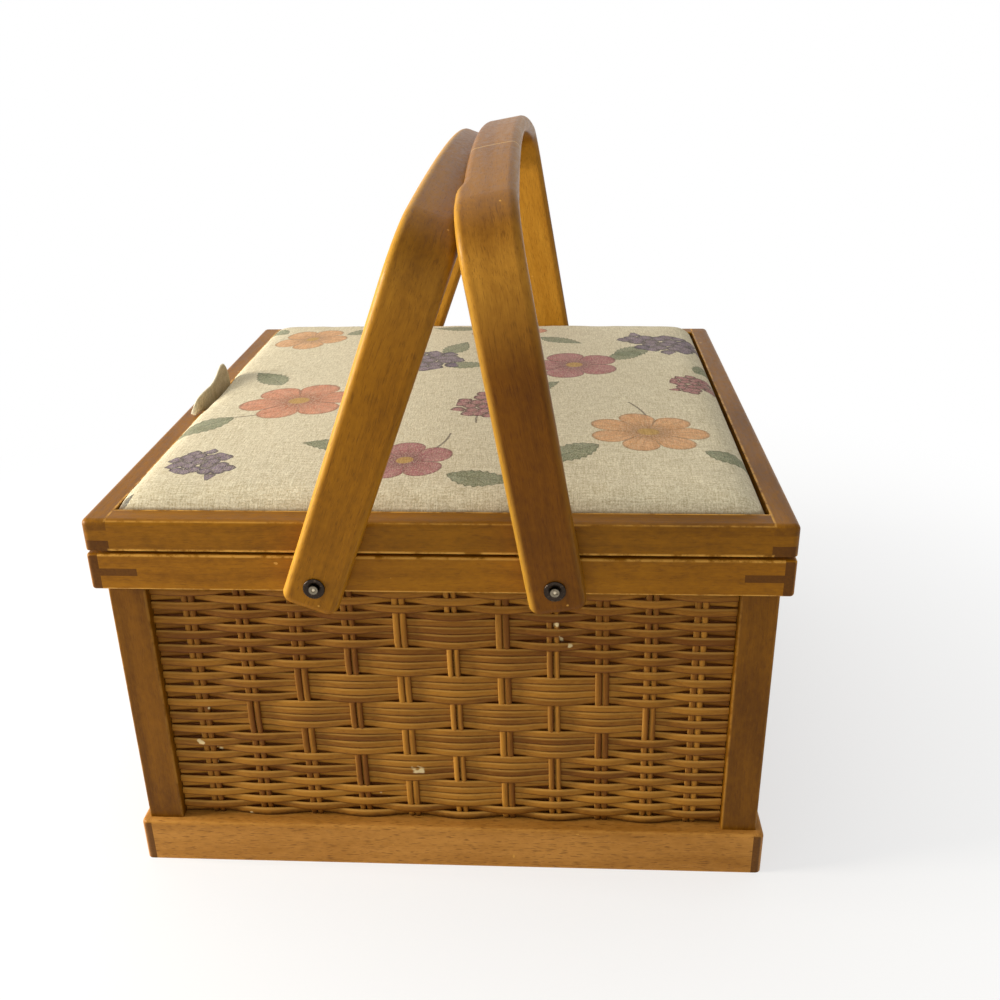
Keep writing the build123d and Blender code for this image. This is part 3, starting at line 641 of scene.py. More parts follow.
def strand_routes(wall):
    """Route and swell of each strand: out over a pair, in behind the next, and broader where it is out."""
    steps = (STAKE_PAIRS + 1) * STEPS_PER_PAIR
    last_place = STAKE_PAIRS + 0.999
    routes, swells = [], []
    for row in range(STRAND_ROWS):
        pairs = wall.pairs(wall.level(row + 0.5))
        bends = strand_bends(row)
        from_block_middle = (row - PLAIN_ROWS_BELOW) % STRANDS_PER_BLOCK - (STRANDS_PER_BLOCK - 1) / 2
        route, swell = [], []
        for step in range(steps + 1):
            along = -wall.length / 2 + wall.length * step / steps
            where = min(float(np.interp(along, pairs, range(len(pairs)))), last_place)
            before = math.floor(where)
            ease = (1 - math.cos(math.pi * (where - before))) / 2
            share, swing, group = (bend[before] * (1 - ease) + bend[before + 1] * ease for bend in bends)
            fan = from_block_middle * BLOCK_FAN * share * group
            route.append(wall.place(along, wall.depth / 2 - swing, wall.level(row + 0.5 + fan)))
            broadening = (PLAIN_SWELL * (1 - group) + BLOCK_SWELL * group) * share
            swell.append(STRAND_BREADTH + broadening - BLOCK_SLIMMING * group)
        routes.append(route)
        swells.append(swell)
    return routes, swells


def stake_swing(row, pair):
    """How far a pair of stakes is pushed outwards at a strand's height, away from the strands around it."""
    if not 0 <= row < STRAND_ROWS:
        return 0.0
    rows = [min(max(row + step, 0), STRAND_ROWS - 1) for step in (-1, 0, 0, 1)]
    return -STAKE_GIVE * sum(1 if strand_is_outside(near, pair) else -1 for near in rows) / len(rows)


def stake_routes(wall):
    """Routes of both stakes of every pair, pushed in and out by the strands."""
    routes = []
    for number in range(STAKE_PAIRS):
        for offset in (-STAKE_SPACING / 2, STAKE_SPACING / 2):
            route = []
            for row in range(-1, STRAND_ROWS + 1):
                height = min(max(wall.level(row + 0.5), wall.bottom), wall.top)
                tuck = STAKE_FOOT_TUCK * max(0.0, 1 - (row + 1) / TUCKED_ROWS)
                inwards = wall.depth / 2 - stake_swing(row, number) + tuck
                route.append(wall.place(wall.pairs(height)[number + 1] + offset, inwards, height))
            routes.append(route)
    return routes


def finish_reeds(piece, node):
    """Ride the basket and stand for the CAD node."""
    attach(piece, "basket")
    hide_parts(node)


def weave_walls():
    """Make the strands and stakes of the four walls, and dress the boards behind them."""
    tree = make_reed_sweep()
    lining = dark_board_material()
    upright = reed_material("reed_upright", "Z")
    flat = {"X": reed_material("reed_along_front", "X"), "Y": reed_material("reed_along_side", "Y")}
    for number, side in enumerate(SIDES):
        wall = Wall(side)
        strands = from_tree(f"woven_strands_{side}", lines_mesh(*strand_routes(wall)), tree, {
            "Width": wall.row_height,
            "Thickness": STRAND_THICKNESS,
            "Unevenness": STRAND_UNEVENNESS,
            "Flat": True,
            "Seed": STRAND_SEED + number,
            "Material": flat["X" if side in ("front", "back") else "Y"],
        })
        finish_reeds(strands, f"strands_{side}")

        routes = stake_routes(wall)
        ones = [[1.0] * len(route) for route in routes]
        stakes = from_tree(f"stake_reeds_{side}", lines_mesh(routes, ones), tree, {
            "Width": STAKE_THICKNESS,
            "Thickness": STAKE_WIDTH,
            "Unevenness": STAKE_UNEVENNESS,
            "Flat": False,
            "Seed": STAKE_SEED + number,
            "Material": upright,
        })
        finish_reeds(stakes, f"stakes_{side}")
        set_material(nodes[f"wall_board_{side}"], lining)


# ======== printed cotton ========

PETAL_ORANGE = srgb(206, 112, 56)
PETAL_ROSE = srgb(162, 62, 70)
PETAL_PEACH = srgb(220, 152, 76)
BERRY_PLUM = srgb(92, 58, 100)
BERRY_ROSE = srgb(154, 60, 72)
LEAF_SAGE = srgb(104, 114, 64)
LEAF_DARK = srgb(64, 60, 44)
STEM_BROWN = srgb(112, 92, 62)
HEART_OCHRE = srgb(196, 158, 84)
CREAM = (srgb(226, 216, 184), srgb(236, 228, 202))
UNBLEACHED = (srgb(206, 186, 144), srgb(222, 204, 164))

LEAF_BREADTH = 0.22
BERRY_SPREAD = 0.62
MOTIF_TAKES = {"Vector": VECTOR, "Centre": VECTOR, "Angle": FLOAT, "Size": FLOAT}
MOTIF_GIVES = {"Mask": FLOAT, "Shade": FLOAT}

# Every motif of the print begins with its middle (x, y) in mm from the pad's middle, its angle in degrees
# and its size in mm. A flower adds its petals and colour, a berry cluster its colour, and a stem its bow.
FLOWERS = [
    ((-84, -28), 10, 33, 6, PETAL_ORANGE),
    ((60, 34), 40, 30, 5, PETAL_ROSE),
    ((94, -70), 0, 31, 7, PETAL_PEACH),
    ((-18, -108), 25, 24, 5, PETAL_ROSE),
    ((-104, 98), 60, 27, 5, PETAL_PEACH),
    ((20, 112), 15, 26, 6, PETAL_ORANGE),
]
BERRIES = [
    ((-30, 40), 205, 42, BERRY_PLUM),
    ((112, 92), 150, 44, BERRY_PLUM),
    ((16, -36), 80, 33, BERRY_ROSE),
    ((-110, -112), 320, 30, BERRY_PLUM),
    ((122, 6), 250, 28, BERRY_ROSE),
]
LEAVES = [
    ((-112, -50), 215, 36), ((-100, 0), 118, 34), ((-58, -50), 318, 32),
    ((36, 10), 228, 34), ((84, 56), 42, 36), ((40, 56), 140, 30),
    ((70, -88), 212, 34), ((118, -92), 330, 30),
    ((-38, -94), 160, 32), ((2, -122), 340, 32),
    ((-16, 54), 60, 32), ((-14, 32), 350, 28),
    ((-124, 114), 130, 26), ((-84, 108), 30, 30),
    ((0, 120), 165, 30), ((40, 98), 320, 30),
    ((100, 66), 215, 30), ((30, -16), 30, 28), ((128, 30), 60, 22),
]
CORNER_LEAF = ((-139, -142.5), 28, 9)
STEMS = [
    ((-112, -50), 25, 28, 0.3), ((36, 10), 48, 28, -0.3), ((94, -70), 100, 42, 0.4),
    ((-18, -108), 60, 36, 0.5), ((-30, 40), 55, 32, 0.4), ((20, 112), 285, 40, 0.4),
    ((112, 92), 330, 28, -0.4), ((16, -36), 260, 28, 0.3),
]


def new_motif(name, more=None, gives=None):
    """New group for a motif of the print, with the place on the cloth: X along it and Y across, in mm."""
    w, inputs, outputs = new_group(name, {**MOTIF_TAKES, **(more or {})}, {**MOTIF_GIVES, **(gives or {})})
    flat = w.vector("SUBTRACT", inputs["Vector"], inputs["Centre"])
    turned = {"Vector": flat, "Angle": inputs["Angle"]}
    x, y, _ = w.split(w.out("ShaderNodeVectorRotate", turned, rotation_type="Z_AXIS"))
    return w, inputs, outputs, x, y


def make_leaf_group():
    """Pointed leaf with a saw edge, a middle rib and side veins."""
    w, inputs, outputs, x, y = new_motif("leaf_motif")
    run = w.over(x, inputs["Size"])
    off_rib = w.absolute(w.minus(w.over(y, inputs["Size"]), w.times(run, run, 0.16)))
    belly = w.math("SINE", w.times(w.math("POWER", w.largest(run, 0), 0.8), math.pi))
    saw = w.math("PINGPONG", w.times(run, 9), 0.5)
    half = w.times(belly, w.plus(w.times(saw, 0.09), LEAF_BREADTH))
    to_edge = w.minus(half, off_rib)
    rib = w.fade(off_rib, 0.004, 0.022, 0.55, 0)
    slant = w.minus(w.times(run, 7), w.times(off_rib, 9))
    vein = w.fade(w.math("PINGPONG", slant, 0.5), 0, 0.14, 0.42, 0)
    w.feed(outputs, {
        "Mask": w.times(w.fade(to_edge, 0, 0.02), w.between_0_and_1(run)),
        "Shade": w.largest(rib, vein, w.fade(to_edge, 0, 0.055, 1, 0)),
    })
    return w.tree


def make_blossom_group():
    """Open flower: rounded petals with a notch between them and a dotted heart."""
    w, inputs, outputs, x, y = new_motif("blossom_motif", {"Petals": FLOAT}, {"Heart": FLOAT})
    squashed = w.times(y, 1.18)
    far = w.over(w.length(x, squashed), inputs["Size"])
    turn = w.math("ARCTAN2", squashed, x)
    lobe = w.absolute(w.math("COSINE", w.times(turn, inputs["Petals"], 0.5)))
    edge = w.plus(w.times(w.math("POWER", lobe, 0.55), 0.34), 0.62)
    to_edge = w.minus(edge, far)
    seam = w.times(w.fade(lobe, 0.04, 0.24, 0.6, 0), w.fade(far, 0.15, 0.35))
    streak = w.times(w.fade(w.math("SINE", w.times(turn, inputs["Petals"], 3.5)), 0.1, 0.9), 0.2)
    throat = w.fade(far, 0.12, 0.6, 0.6, 0)
    w.feed(outputs, {
        "Mask": w.fade(to_edge, 0, 0.035),
        "Shade": w.plus(w.largest(seam, w.fade(to_edge, 0, 0.09, 0.9, 0), throat), streak),
        "Heart": w.fade(far, 0.14, 0.19, 1, 0),
    })
    return w.tree


def make_berry_group():
    """Cluster of round berries, each darker at its rim with a pale glint."""
    w, inputs, outputs, x, y = new_motif("berry_motif")
    flat = w.join(w.over(x, inputs["Size"]), w.over(y, inputs["Size"]), 0)
    values = {"Vector": flat, "Scale": 5.4, "Randomness": 0.5}
    cells = w.node("ShaderNodeTexVoronoi", values, voronoi_dimensions="2D").outputs
    middle_x, middle_y, _ = w.split(cells["Position"])
    taper = w.plus(0.42, w.times(middle_x, -0.28))
    reach = w.length(w.over(middle_x, BERRY_SPREAD), w.over(middle_y, taper))
    berry = w.fade(cells["Distance"], 0.62, 0.66, 1, 0)
    offset = w.vector("SUBTRACT", flat, cells["Position"])
    glint = w.fade(w.vector("DISTANCE", offset, (-0.025, 0.028, 0)), 0, 0.055, 0.6, 0)
    w.feed(outputs, {
        "Mask": w.times(w.math("LESS_THAN", reach, 1), berry),
        "Shade": w.minus(w.fade(cells["Distance"], 0.28, 0.55, 0.15, 1.1), glint),
    })
    return w.tree


def make_stem_group():
    """Thin curved stem."""
    w, inputs, outputs, x, y = new_motif("stem_motif", {"Bow": FLOAT})
    run = w.over(x, inputs["Size"])
    lift = w.times(run, w.minus(run, 1), inputs["Bow"], inputs["Size"])
    line = w.fade(w.absolute(w.minus(y, lift)), 0.35, 0.75, 1, 0)
    w.feed(outputs, {"Mask": w.times(line, w.between_0_and_1(run)), "Shade": 0.3})
    return w.tree


def make_linen_group():
    """Plain-woven cotton: slubby threads both ways. Its Vector is in metres."""
    w, inputs, outputs = new_group("woven_cotton", {"Vector": VECTOR}, {"Thread": FLOAT, "Height": FLOAT})
    warp = w.grain(inputs["Vector"], (1900, 160, 160), 2, 0.6)
    weft = w.grain(inputs["Vector"], (160, 1900, 160), 2, 0.6)
    grit = w.noise(inputs["Vector"], 1300, 2, 0.7)
    threads = w.weighted((warp, 0.5), (weft, 0.5))
    w.feed(outputs, {
        "Thread": w.weighted((threads, 0.65), (grit, 0.35)),
        "Height": w.plus(threads, w.times(grit, 0.5)),
    })
    return w.tree


LINEN = make_linen_group()


def print_layers(w, place, colour):
    """Lay the motifs over the cloth's colour: stems, leaves, berries and then flowers."""
    stem, leaf = make_stem_group(), make_leaf_group()
    berry, blossom = make_berry_group(), make_blossom_group()
    wash = w.times(w.noise(place, 0.12, 4, 0.7), 0.7)
    speckle = w.fade(w.noise(place, 1.5, 2, 0.7), 0.34, 0.62, 0.6, 1)

    def lay(tree, middle, angle, size, ink, colour, **more):
        where = {"Vector": place, "Centre": (*middle, 0), "Angle": -math.radians(angle)}
        motif = w.group(tree, {**where, "Size": size, **more})
        dark = tuple(0.2 * part for part in ink[:3]) + (1.0,)
        pale = tuple(part + 0.28 * (1 - part) for part in ink[:3]) + (1.0,)
        painted = w.mix(w.times(motif["Shade"], 0.8), w.mix(wash, ink, pale), dark)
        return w.mix(w.times(motif["Mask"], speckle), colour, painted), motif

    for *where, bow in STEMS:
        colour, _ = lay(stem, *where, STEM_BROWN, colour, Bow=bow)
    for where in LEAVES:
        colour, _ = lay(leaf, *where, LEAF_SAGE, colour)
    colour, _ = lay(leaf, *CORNER_LEAF, LEAF_DARK, colour)
    for *where, ink in BERRIES:
        colour, _ = lay(berry, *where, ink, colour)
    for *where, petals, ink in FLOWERS:
        colour, motif = lay(blossom, *where, ink, colour, Petals=petals)
        colour = w.mix(w.times(motif["Heart"], 0.85), colour, HEART_OCHRE)
    return colour


def cotton_material(name, printed):
    """Cream cotton with the print and painted shade in its seam at the rails, or unbleached cotton painted
    pale as a highlight along its fold and front end.
    """
    made, w, surface, place = new_material(name)
    linen = w.group(LINEN, {"Vector": place})
    thread = w.fade(linen["Thread"], 0.34, 0.66)
    colour = w.mix(w.noise(place, 9), *(CREAM if printed else UNBLEACHED))
    blotch = w.fade(w.noise(place, 1400, 2, 0.7), 0.42, 0.66)
    colour = w.mix(w.times(blotch, 0.5), colour, srgb(178, 162, 124))
    if printed:
        colour = print_layers(w, w.scaled(place, 1 / MM), colour)
    colour = w.mix(w.times(w.minus(1, thread), 0.66), colour, srgb(170, 156, 128), "MULTIPLY")
    if printed:
        # Painted shade in the seam where the cloth meets the rails.
        rail_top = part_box("lid_left")[1].z
        seam_shade = w.fade(w.split(place)[2], rail_top - 0.5 * MM, rail_top + 1.2 * MM, 0.6, 0)
        colour = w.mix(seam_shade, colour, srgb(104, 74, 36))
    else:
        # Painted highlight along the tab's fold and front end.
        wear_and_highlight = w.node("ShaderNodeAttribute", attribute_name="fold_highlight").outputs["Fac"]
        colour = w.mix(w.times(wear_and_highlight, 0.85), colour, srgb(250, 242, 214))
    w.feed(surface, {
        "Base Color": colour,
        "Roughness": w.fade(thread, 0, 1, 0.95, 0.82),
        "Specular IOR Level": 0.15,
        "Sheen Weight": 0.08,
        "Normal": w.bump(linen["Height"], 0.5, 0.4 * MM),
    })
    return made


# ======== padded lid ========

PAD_LEFT = -138.8 * MM
PAD_RIGHT = 137.6 * MM
PAD_DEPTH = 143.8 * MM
PAD_EDGE = 2.6 * MM
PAD_SHOULDER = 8.2 * MM
PAD_SHOULDER_RUN = 3.6 * MM
PAD_DOME_ROUNDNESS = 0.6
PAD_ROWS = 88
PAD_EDGE_CROWDING = 0.92
# Share of the dome that follows the swollen filling, and how puckers fade away from the pad's edge.
SWELL_SHARE = 0.3
PUCKER_REACH = 9 * MM
PUCKERS_EVERYWHERE = 0.1

FILLING_INSET = 5 * MM
FILLING_THICKNESS = 9 * MM
FILLING_CLEARANCE = 0.2 * MM
FILLING_HELD = 3 * MM
VOXEL = 5.0 * MM
PAD_CAP = 16.0 * MM
SWELL_FRAMES = 20
CLOTH = {
    "quality": 6,
    "mass": 0.3,
    "use_pressure": True,
    "uniform_pressure_force": 4.0,
    "vertex_group_mass": "held",
    "tension_stiffness": 12,
    "compression_stiffness": 12,
    "shear_stiffness": 4,
    "bending_stiffness": 0.6,
}


def pad_start(low, high):
    """Flat filling before it swells: a closed slab a little smaller than the pad."""
    mesh = bpy.data.meshes.new("pad_start")
    shape = bmesh.new()
    bmesh.ops.create_cube(shape, size=1.0)
    inset = 2 * FILLING_INSET
    size = Vector((high.x - low.x - inset, high.y - low.y - inset, FILLING_THICKNESS))
    foot = low.z + size.z / 2 + FILLING_CLEARANCE
    middle = Vector(((low.x + high.x) / 2, (low.y + high.y) / 2, foot))
    for vertex in shape.verts:
        vertex.co = Vector(a * b for a, b in zip(vertex.co, size)) + middle
    shape.to_mesh(mesh)
    shape.free()
    return mesh


def swell_pad(pad, foot):
    """Blow the filling up with cloth simulation, its underside held on the board."""
    held = pad.vertex_groups.new(name="held")
    held.add([v.index for v in pad.data.vertices if v.co.z < foot + FILLING_HELD], 1.0, "REPLACE")
    start = np.array([v.co for v in pad.data.vertices])
    cloth = pad.modifiers.new("swell", "CLOTH")
    for name, value in CLOTH.items():
        setattr(cloth.settings, name, value)
    cloth.settings.effector_weights.gravity = 0.0
    cloth.collision_settings.use_self_collision = False
    cloth.point_cache.frame_start = 1
    cloth.point_cache.frame_end = SWELL_FRAMES
    for number in range(1, SWELL_FRAMES + 1):
        bpy.context.scene.frame_set(number)
    apply_modifiers(pad)
    moved = np.array([v.co for v in pad.data.vertices]) - start
    far = np.linalg.norm(moved, axis=1)
    capped = PAD_CAP * np.tanh(far / PAD_CAP) / np.maximum(far, 1e-9)
    pad.data.vertices.foreach_set("co", (start + moved * capped[:, None]).ravel())
    bpy.context.scene.frame_set(1)


def swell_map(pad, flat, neighbours=6):
    """Smooth map of how far the swollen filling has risen, from 0 to 1, as a function of place."""
    rise = np.array([v.co.z for v in pad.data.vertices]) - flat[:, 2]
    top = flat[:, 2] > flat[:, 2].mean()
    lookup = kdtree.KDTree(int(top.sum()))
    kept = rise[top] / max(np.percentile(rise[top], 99), 1e-6)
    for index, (x, y) in enumerate(flat[top][:, :2]):
        lookup.insert((x, y, 0), index)
    lookup.balance()

    def risen(x, y):
        found = lookup.find_n((x, y, 0), neighbours)
        weights = [1 / (distance + 1 * MM) for _, _, distance in found]
        return sum(kept[index] * weight for (_, index, _), weight in zip(found, weights)) / sum(weights)
    return risen


def crowded(count):
    """Even steps from -1 to 1 that crowd towards both ends."""
    half_turn = PAD_EDGE_CROWDING * math.pi / 2
    return np.sin(np.linspace(-half_turn, half_turn, count)) / math.sin(half_turn)


def dome_share(share):
    """Height of the dome at a share of its width: 0 at the ends and 1 in the middle."""
    return math.sin(math.pi * min(max(share, 0), 1)) ** PAD_DOME_ROUNDNESS


def pad_height(x, y, risen, low, high):
    """Height of the cover: up steeply from the rail, round a shoulder, and over in a low dome."""
    to_x = min(x - PAD_LEFT, PAD_RIGHT - x)
    to_y = PAD_DEPTH - abs(y)
    shoulder = (1 - math.exp(-to_x / PAD_SHOULDER_RUN)) * (1 - math.exp(-to_y / PAD_SHOULDER_RUN))
    across = dome_share((x - PAD_LEFT) / (PAD_RIGHT - PAD_LEFT))
    along = dome_share((y + PAD_DEPTH) / (2 * PAD_DEPTH))
    room = high.z - low.z - PAD_EDGE - PAD_SHOULDER
    dome = room * (1 - SWELL_SHARE + SWELL_SHARE * risen(x, y)) * across * along
    near = math.exp(-min(to_x, to_y) / PUCKER_REACH)
    pucker = noise.noise(Vector((x * 60, y * 60, 3.1))) + 0.5 * noise.noise(Vector((x * 150, y * 150, 7.7)))
    pucker *= ((1 - PUCKERS_EVERYWHERE) * near + PUCKERS_EVERYWHERE) * shoulder
    return low.z + PAD_EDGE + PAD_SHOULDER * shoulder + dome + pucker * MM


def grid_faces(across, along):
    """Faces of a grid whose rows have a number of points across, with a number of rows along."""
    starts = [j * across + i for j in range(along - 1) for i in range(across - 1)]
    return [(a, a + 1, a + across + 1, a + across) for a in starts]


def cover_mesh(risen, low, high):
    """Closed cover over the swollen filling: the domed top, its sides and its flat underside."""
    xs = PAD_LEFT + (crowded(PAD_ROWS) + 1) / 2 * (PAD_RIGHT - PAD_LEFT)
    ys = PAD_DEPTH * crowded(PAD_ROWS)
    points = []
    for y in ys:
        for x in xs:
            beside_tab = max(0.0, 1 - abs(y - TAB_MIDDLE) / (0.6 * TAB_FOOT)) ** 0.5
            aside = TAB_ROOM * beside_tab * max(0.0, 1 - (x - PAD_LEFT) / TAB_ROOM_REACH)
            points.append((x + aside, y, pad_height(x, y, risen, low, high)))
    faces = grid_faces(PAD_ROWS, PAD_ROWS)
    last = PAD_ROWS - 1
    border = list(range(last)) + [j * PAD_ROWS + last for j in range(last)]
    border += [last * PAD_ROWS + i for i in range(last, 0, -1)] + [j * PAD_ROWS for j in range(last, 0, -1)]
    foot = len(points)
    points += [(points[k][0], points[k][1], low.z + 0.05 * MM) for k in border]
    for k in range(len(border)):
        following = (k + 1) % len(border)
        faces.append((border[following], border[k], foot + k, foot + following))
    faces.append(tuple(range(foot, foot + len(border)))[::-1])
    return new_mesh("cover", points, [], faces)


def make_pad():
    """Padded lid's cushion in printed cotton."""
    low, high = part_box("pad_cushion")
    filling = link("filling", pad_start(low, high))
    remesh = filling.modifiers.new("remesh", "REMESH")
    remesh.mode = "VOXEL"
    remesh.voxel_size = VOXEL
    apply_modifiers(filling)
    flat = np.array([v.co for v in filling.data.vertices])
    swell_pad(filling, low.z)
    pad = link("padded_cushion", cover_mesh(swell_map(filling, flat), low, high))
    bpy.data.objects.remove(filling)
    for face in pad.data.polygons:
        face.use_smooth = len(face.vertices) == 4
    set_material(pad, cotton_material("printed_cotton", True))
    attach(pad, "padded_lid")
    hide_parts("pad_cushion")


# ======== pull tab ========

TAB_FOOT = 53 * MM
TAB_MIDDLE = 1 * MM
TAB_ROOM = 2.2 * MM
TAB_ROOM_REACH = 14 * MM
TAB_LAYER_GAP = 1.0 * MM
TAB_INSET = 1.4 * MM
TAB_BOW = 1.2 * MM
TAB_LEAN = 1.4 * MM
TAB_RIPPLE = 0.5 * MM
TAB_SLANT = 1.5 * MM
TAB_CLOTH = 0.4 * MM
# Painted highlight: reach of the pale band from the tab's fold and from its front end.
TAB_FOLD_HIGHLIGHT = 0.16
TAB_END_HIGHLIGHT = 0.05
TAB_ACROSS = 30
TAB_ALONG = 36
# Height of the fold above the foot, along the foot from the front end to the back end, in mm.
TAB_TOP = [
    (0.0, 0.8), (0.07, 4.6), (0.15, 7.6), (0.3, 11.2), (0.5, 14.4), (0.68, 17.2), (0.84, 18.8), (0.95, 18.0),
    (1.0, 15.0),
]
# Place of the foot outwards of the pad's edge, and its rise onto the rail, along the same way, in mm.
TAB_OUT = [(0.0, 4.4), (0.12, 3.2), (0.3, 1.0), (0.5, 0.2), (1.0, 0.0)]
TAB_LIFT = [(0.0, 4.6), (0.15, 4.4), (0.26, 3.4), (0.4, 1.6), (0.6, 0.8), (1.0, 0.6)]


def along_tab(table, width):
    """Value of a table at a place along the tab, in metres."""
    return np.interp(width, [place for place, _ in table], [value for _, value in table]) * MM


def tab_point(run, width, low):
    """Point of the tab: run goes up the outer layer and down the inner one, and width runs backwards."""
    side = 1 - 2 * run
    rise = math.cos(side * math.pi / 2) ** 0.6
    part = TAB_LAYER_GAP / 2 * math.copysign(min(1.0, abs(side) * 2.5) ** 0.7, side) * (0.5 + 0.7 * width)
    bow = TAB_BOW * math.sin(math.pi * width) * rise - TAB_LEAN * rise ** 2
    ripple = TAB_RIPPLE * noise.noise(Vector((width * 3, rise * 2, side)))
    x = PAD_LEFT + TAB_INSET - part + bow + ripple - along_tab(TAB_OUT, width)
    y = TAB_MIDDLE + (width - 0.5) * TAB_FOOT - TAB_SLANT * rise * width
    return (x, y, low.z + along_tab(TAB_LIFT, width) + along_tab(TAB_TOP, width) * rise)


def tab_highlight(run, width):
    """How strongly the tab is painted pale as a highlight: 1 at its fold and at its front end."""
    return max(math.exp(-((1 - 2 * run) / TAB_FOLD_HIGHLIGHT) ** 2), math.exp(-width / TAB_END_HIGHLIGHT))


def make_tab():
    """Pull tab: a strip of cotton folded double, standing between the pad and the left rail."""
    low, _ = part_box("pull_tab")
    runs = [(j / TAB_ALONG, i / TAB_ACROSS) for j in range(TAB_ALONG + 1) for i in range(TAB_ACROSS + 1)]
    points = [tab_point(run, width, low) for run, width in runs]
    mesh = new_mesh("tab", points, [], grid_faces(TAB_ACROSS + 1, TAB_ALONG + 1))
    # Painted highlight along the fold and the front end, kept on the mesh for the material.
    wear_and_highlight = mesh.attributes.new("fold_highlight", "FLOAT", "POINT")
    wear_and_highlight.data.foreach_set("value", [tab_highlight(run, width) for run, width in runs])
    tab = link("pull_tab_cloth", mesh)
    thick = tab.modifiers.new("thick", "SOLIDIFY")
    thick.thickness = TAB_CLOTH
    thick.offset = 0
    round_off = tab.modifiers.new("round", "SUBSURF")
    round_off.levels = 1
    round_off.render_levels = 1
    apply_modifiers(tab)
    for face in tab.data.polygons:
        face.use_smooth = True
    set_material(tab, cotton_material("tab_cotton", False))
    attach(tab, "padded_lid")
    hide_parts("pull_tab")


# ======== metal ========

WASHER_SINK = 1.0 * MM
HARDWARE_TURN = 0.9
HARDWARE_SEED = 3
# Sections from the middle outwards: (radius, height above the face it lies on), in mm.
WASHER_SECTION = [
    (1.5, 0.35), (2.1, 0.45), (2.7, 0.62), (3.3, 0.86), (3.9, 0.98),
    (4.35, 0.86), (4.58, 0.5), (4.6, 0.12), (4.5, 0.0), (1.5, 0.0),
]
RIVET_SECTION = [
    (0.0, 0.9), (0.45, 0.92), (0.7, 1.0), (0.9, 1.2), (1.05, 1.5), (1.2, 1.72),
    (1.5, 1.8), (1.78, 1.62), (1.9, 1.3), (1.85, 1.0), (1.5, 0.8), (1.4, 0.3),
]


def metal_material(name, colour, roughness, wear, worn_colour):
    """Metal with faint smudges and worn patches."""
    made, w, surface, place = new_material(name)
    smudge = w.noise(place, 420, 3, 0.6)
    wear_and_highlight = w.times(w.fade(w.noise(place, 900), 0.55, 0.7), wear)
    w.feed(surface, {
        "Base Color": w.mix(wear_and_highlight, colour, worn_colour),
        "Roughness": w.fade(smudge, 0.3, 0.7, roughness, roughness + 0.16),
        "Metallic": 1,
        "Normal": w.bump(smudge, 0.08, 0.1 * MM),
    })
    return made


def rivet_material(pivot):
    """Rolled steel rivet: bright at its mouth and dark round it."""
    made, w, surface, place = new_material("rivet_metal")
    x, _, z = w.split(place)
    far = w.length(w.minus(w.absolute(x), pivot.x), w.minus(z, pivot.z))
    smudge = w.noise(place, 900)
    # Darker round the bright middle.
    dark_ring = w.fade(w.plus(far, w.times(smudge, 0.5 * MM)), 1.2 * MM, 1.5 * MM)
    w.feed(surface, {
        "Base Color": w.mix(dark_ring, srgb(198, 184, 158), srgb(48, 36, 26)),
        "Roughness": w.fade(smudge, 0.3, 0.7, 0.2, 0.36),
        "Metallic": 1,
    })
    return made


def felt_material():
    """Brown felt."""
    made, w, surface, place = new_material("brown_felt")
    fuzz = w.noise(place, 2500, 3, 0.7)
    colour = w.mix(fuzz, srgb(70, 44, 26), srgb(116, 82, 54))
    w.feed(surface, {"Base Color": colour, "Roughness": 0.95, "Normal": w.bump(fuzz, 0.5, 0.3 * MM)})
    return made


def lathe(name, section, sides=40):
    """Solid of revolution about Z from a section in mm."""
    points, faces = [], []
    for radius, height in section:
        for k in range(sides):
            turn = 2 * math.pi * k / sides
            points.append((radius * MM * math.cos(turn), radius * MM * math.sin(turn), height * MM))
    for ring in range(len(section) - 1):
        for k in range(sides):
            a, b = ring * sides + k, ring * sides + (k + 1) % sides
            faces.append((a, b, b + sides, a + sides))
    mesh = new_mesh(name, points, [], faces)
    shape = bmesh.new()
    shape.from_mesh(mesh)
    bmesh.ops.remove_doubles(shape, verts=shape.verts, dist=0.001 * MM)
    bmesh.ops.holes_fill(shape, edges=shape.edges)
    bmesh.ops.recalc_face_normals(shape, faces=shape.faces)
    shape.to_mesh(mesh)
    shape.free()
    return mesh


def make_scatter():
    """Geometry tree: puts a copy of one piece of hardware on every point, facing the way it is given."""
    takes = {"Geometry": GEOMETRY, "Piece": "NodeSocketObject", "Material": MATERIAL}
    w, inputs, outputs = new_group("hardware_places", takes, {"Geometry": GEOMETRY}, "GeometryNodeTree")
    facing = w.out("GeometryNodeInputNamedAttribute", {"Name": "facing"}, data_type="FLOAT_VECTOR")
    aligned = w.out("FunctionNodeAlignEulerToVector", {"Vector": facing}, axis="Z")
    spin = w.node("FunctionNodeRandomValue", {"Seed": HARDWARE_SEED}).outputs[1]
    values = {0: aligned, "Rotate By": w.join(0, 0, w.times(spin, HARDWARE_TURN))}
    turned = w.out("FunctionNodeRotateEuler", values, rotation_type="EULER", space="LOCAL")
    piece = w.node("GeometryNodeObjectInfo", {"Object": inputs["Piece"]}).outputs["Geometry"]
    values = {"Points": inputs["Geometry"], "Instance": piece, "Rotation": turned}
    return dress_tree(w, w.out("GeometryNodeInstanceOnPoints", values), inputs, outputs)


def place_hardware(name, tree, pattern, pivots, material):
    """Copies of a pattern mesh on the given places and directions, as one piece."""
    mesh = new_mesh(name, [place for place, _ in pivots], [], [])
    facing = mesh.attributes.new("facing", "FLOAT_VECTOR", "POINT")
    facing.data.foreach_set("vector", [part for _, direction in pivots for part in direction])
    holder = link(name + "_pattern", pattern)
    piece = from_tree(name, mesh, tree, {"Piece": holder, "Material": material})
    bpy.data.objects.remove(holder)
    return piece


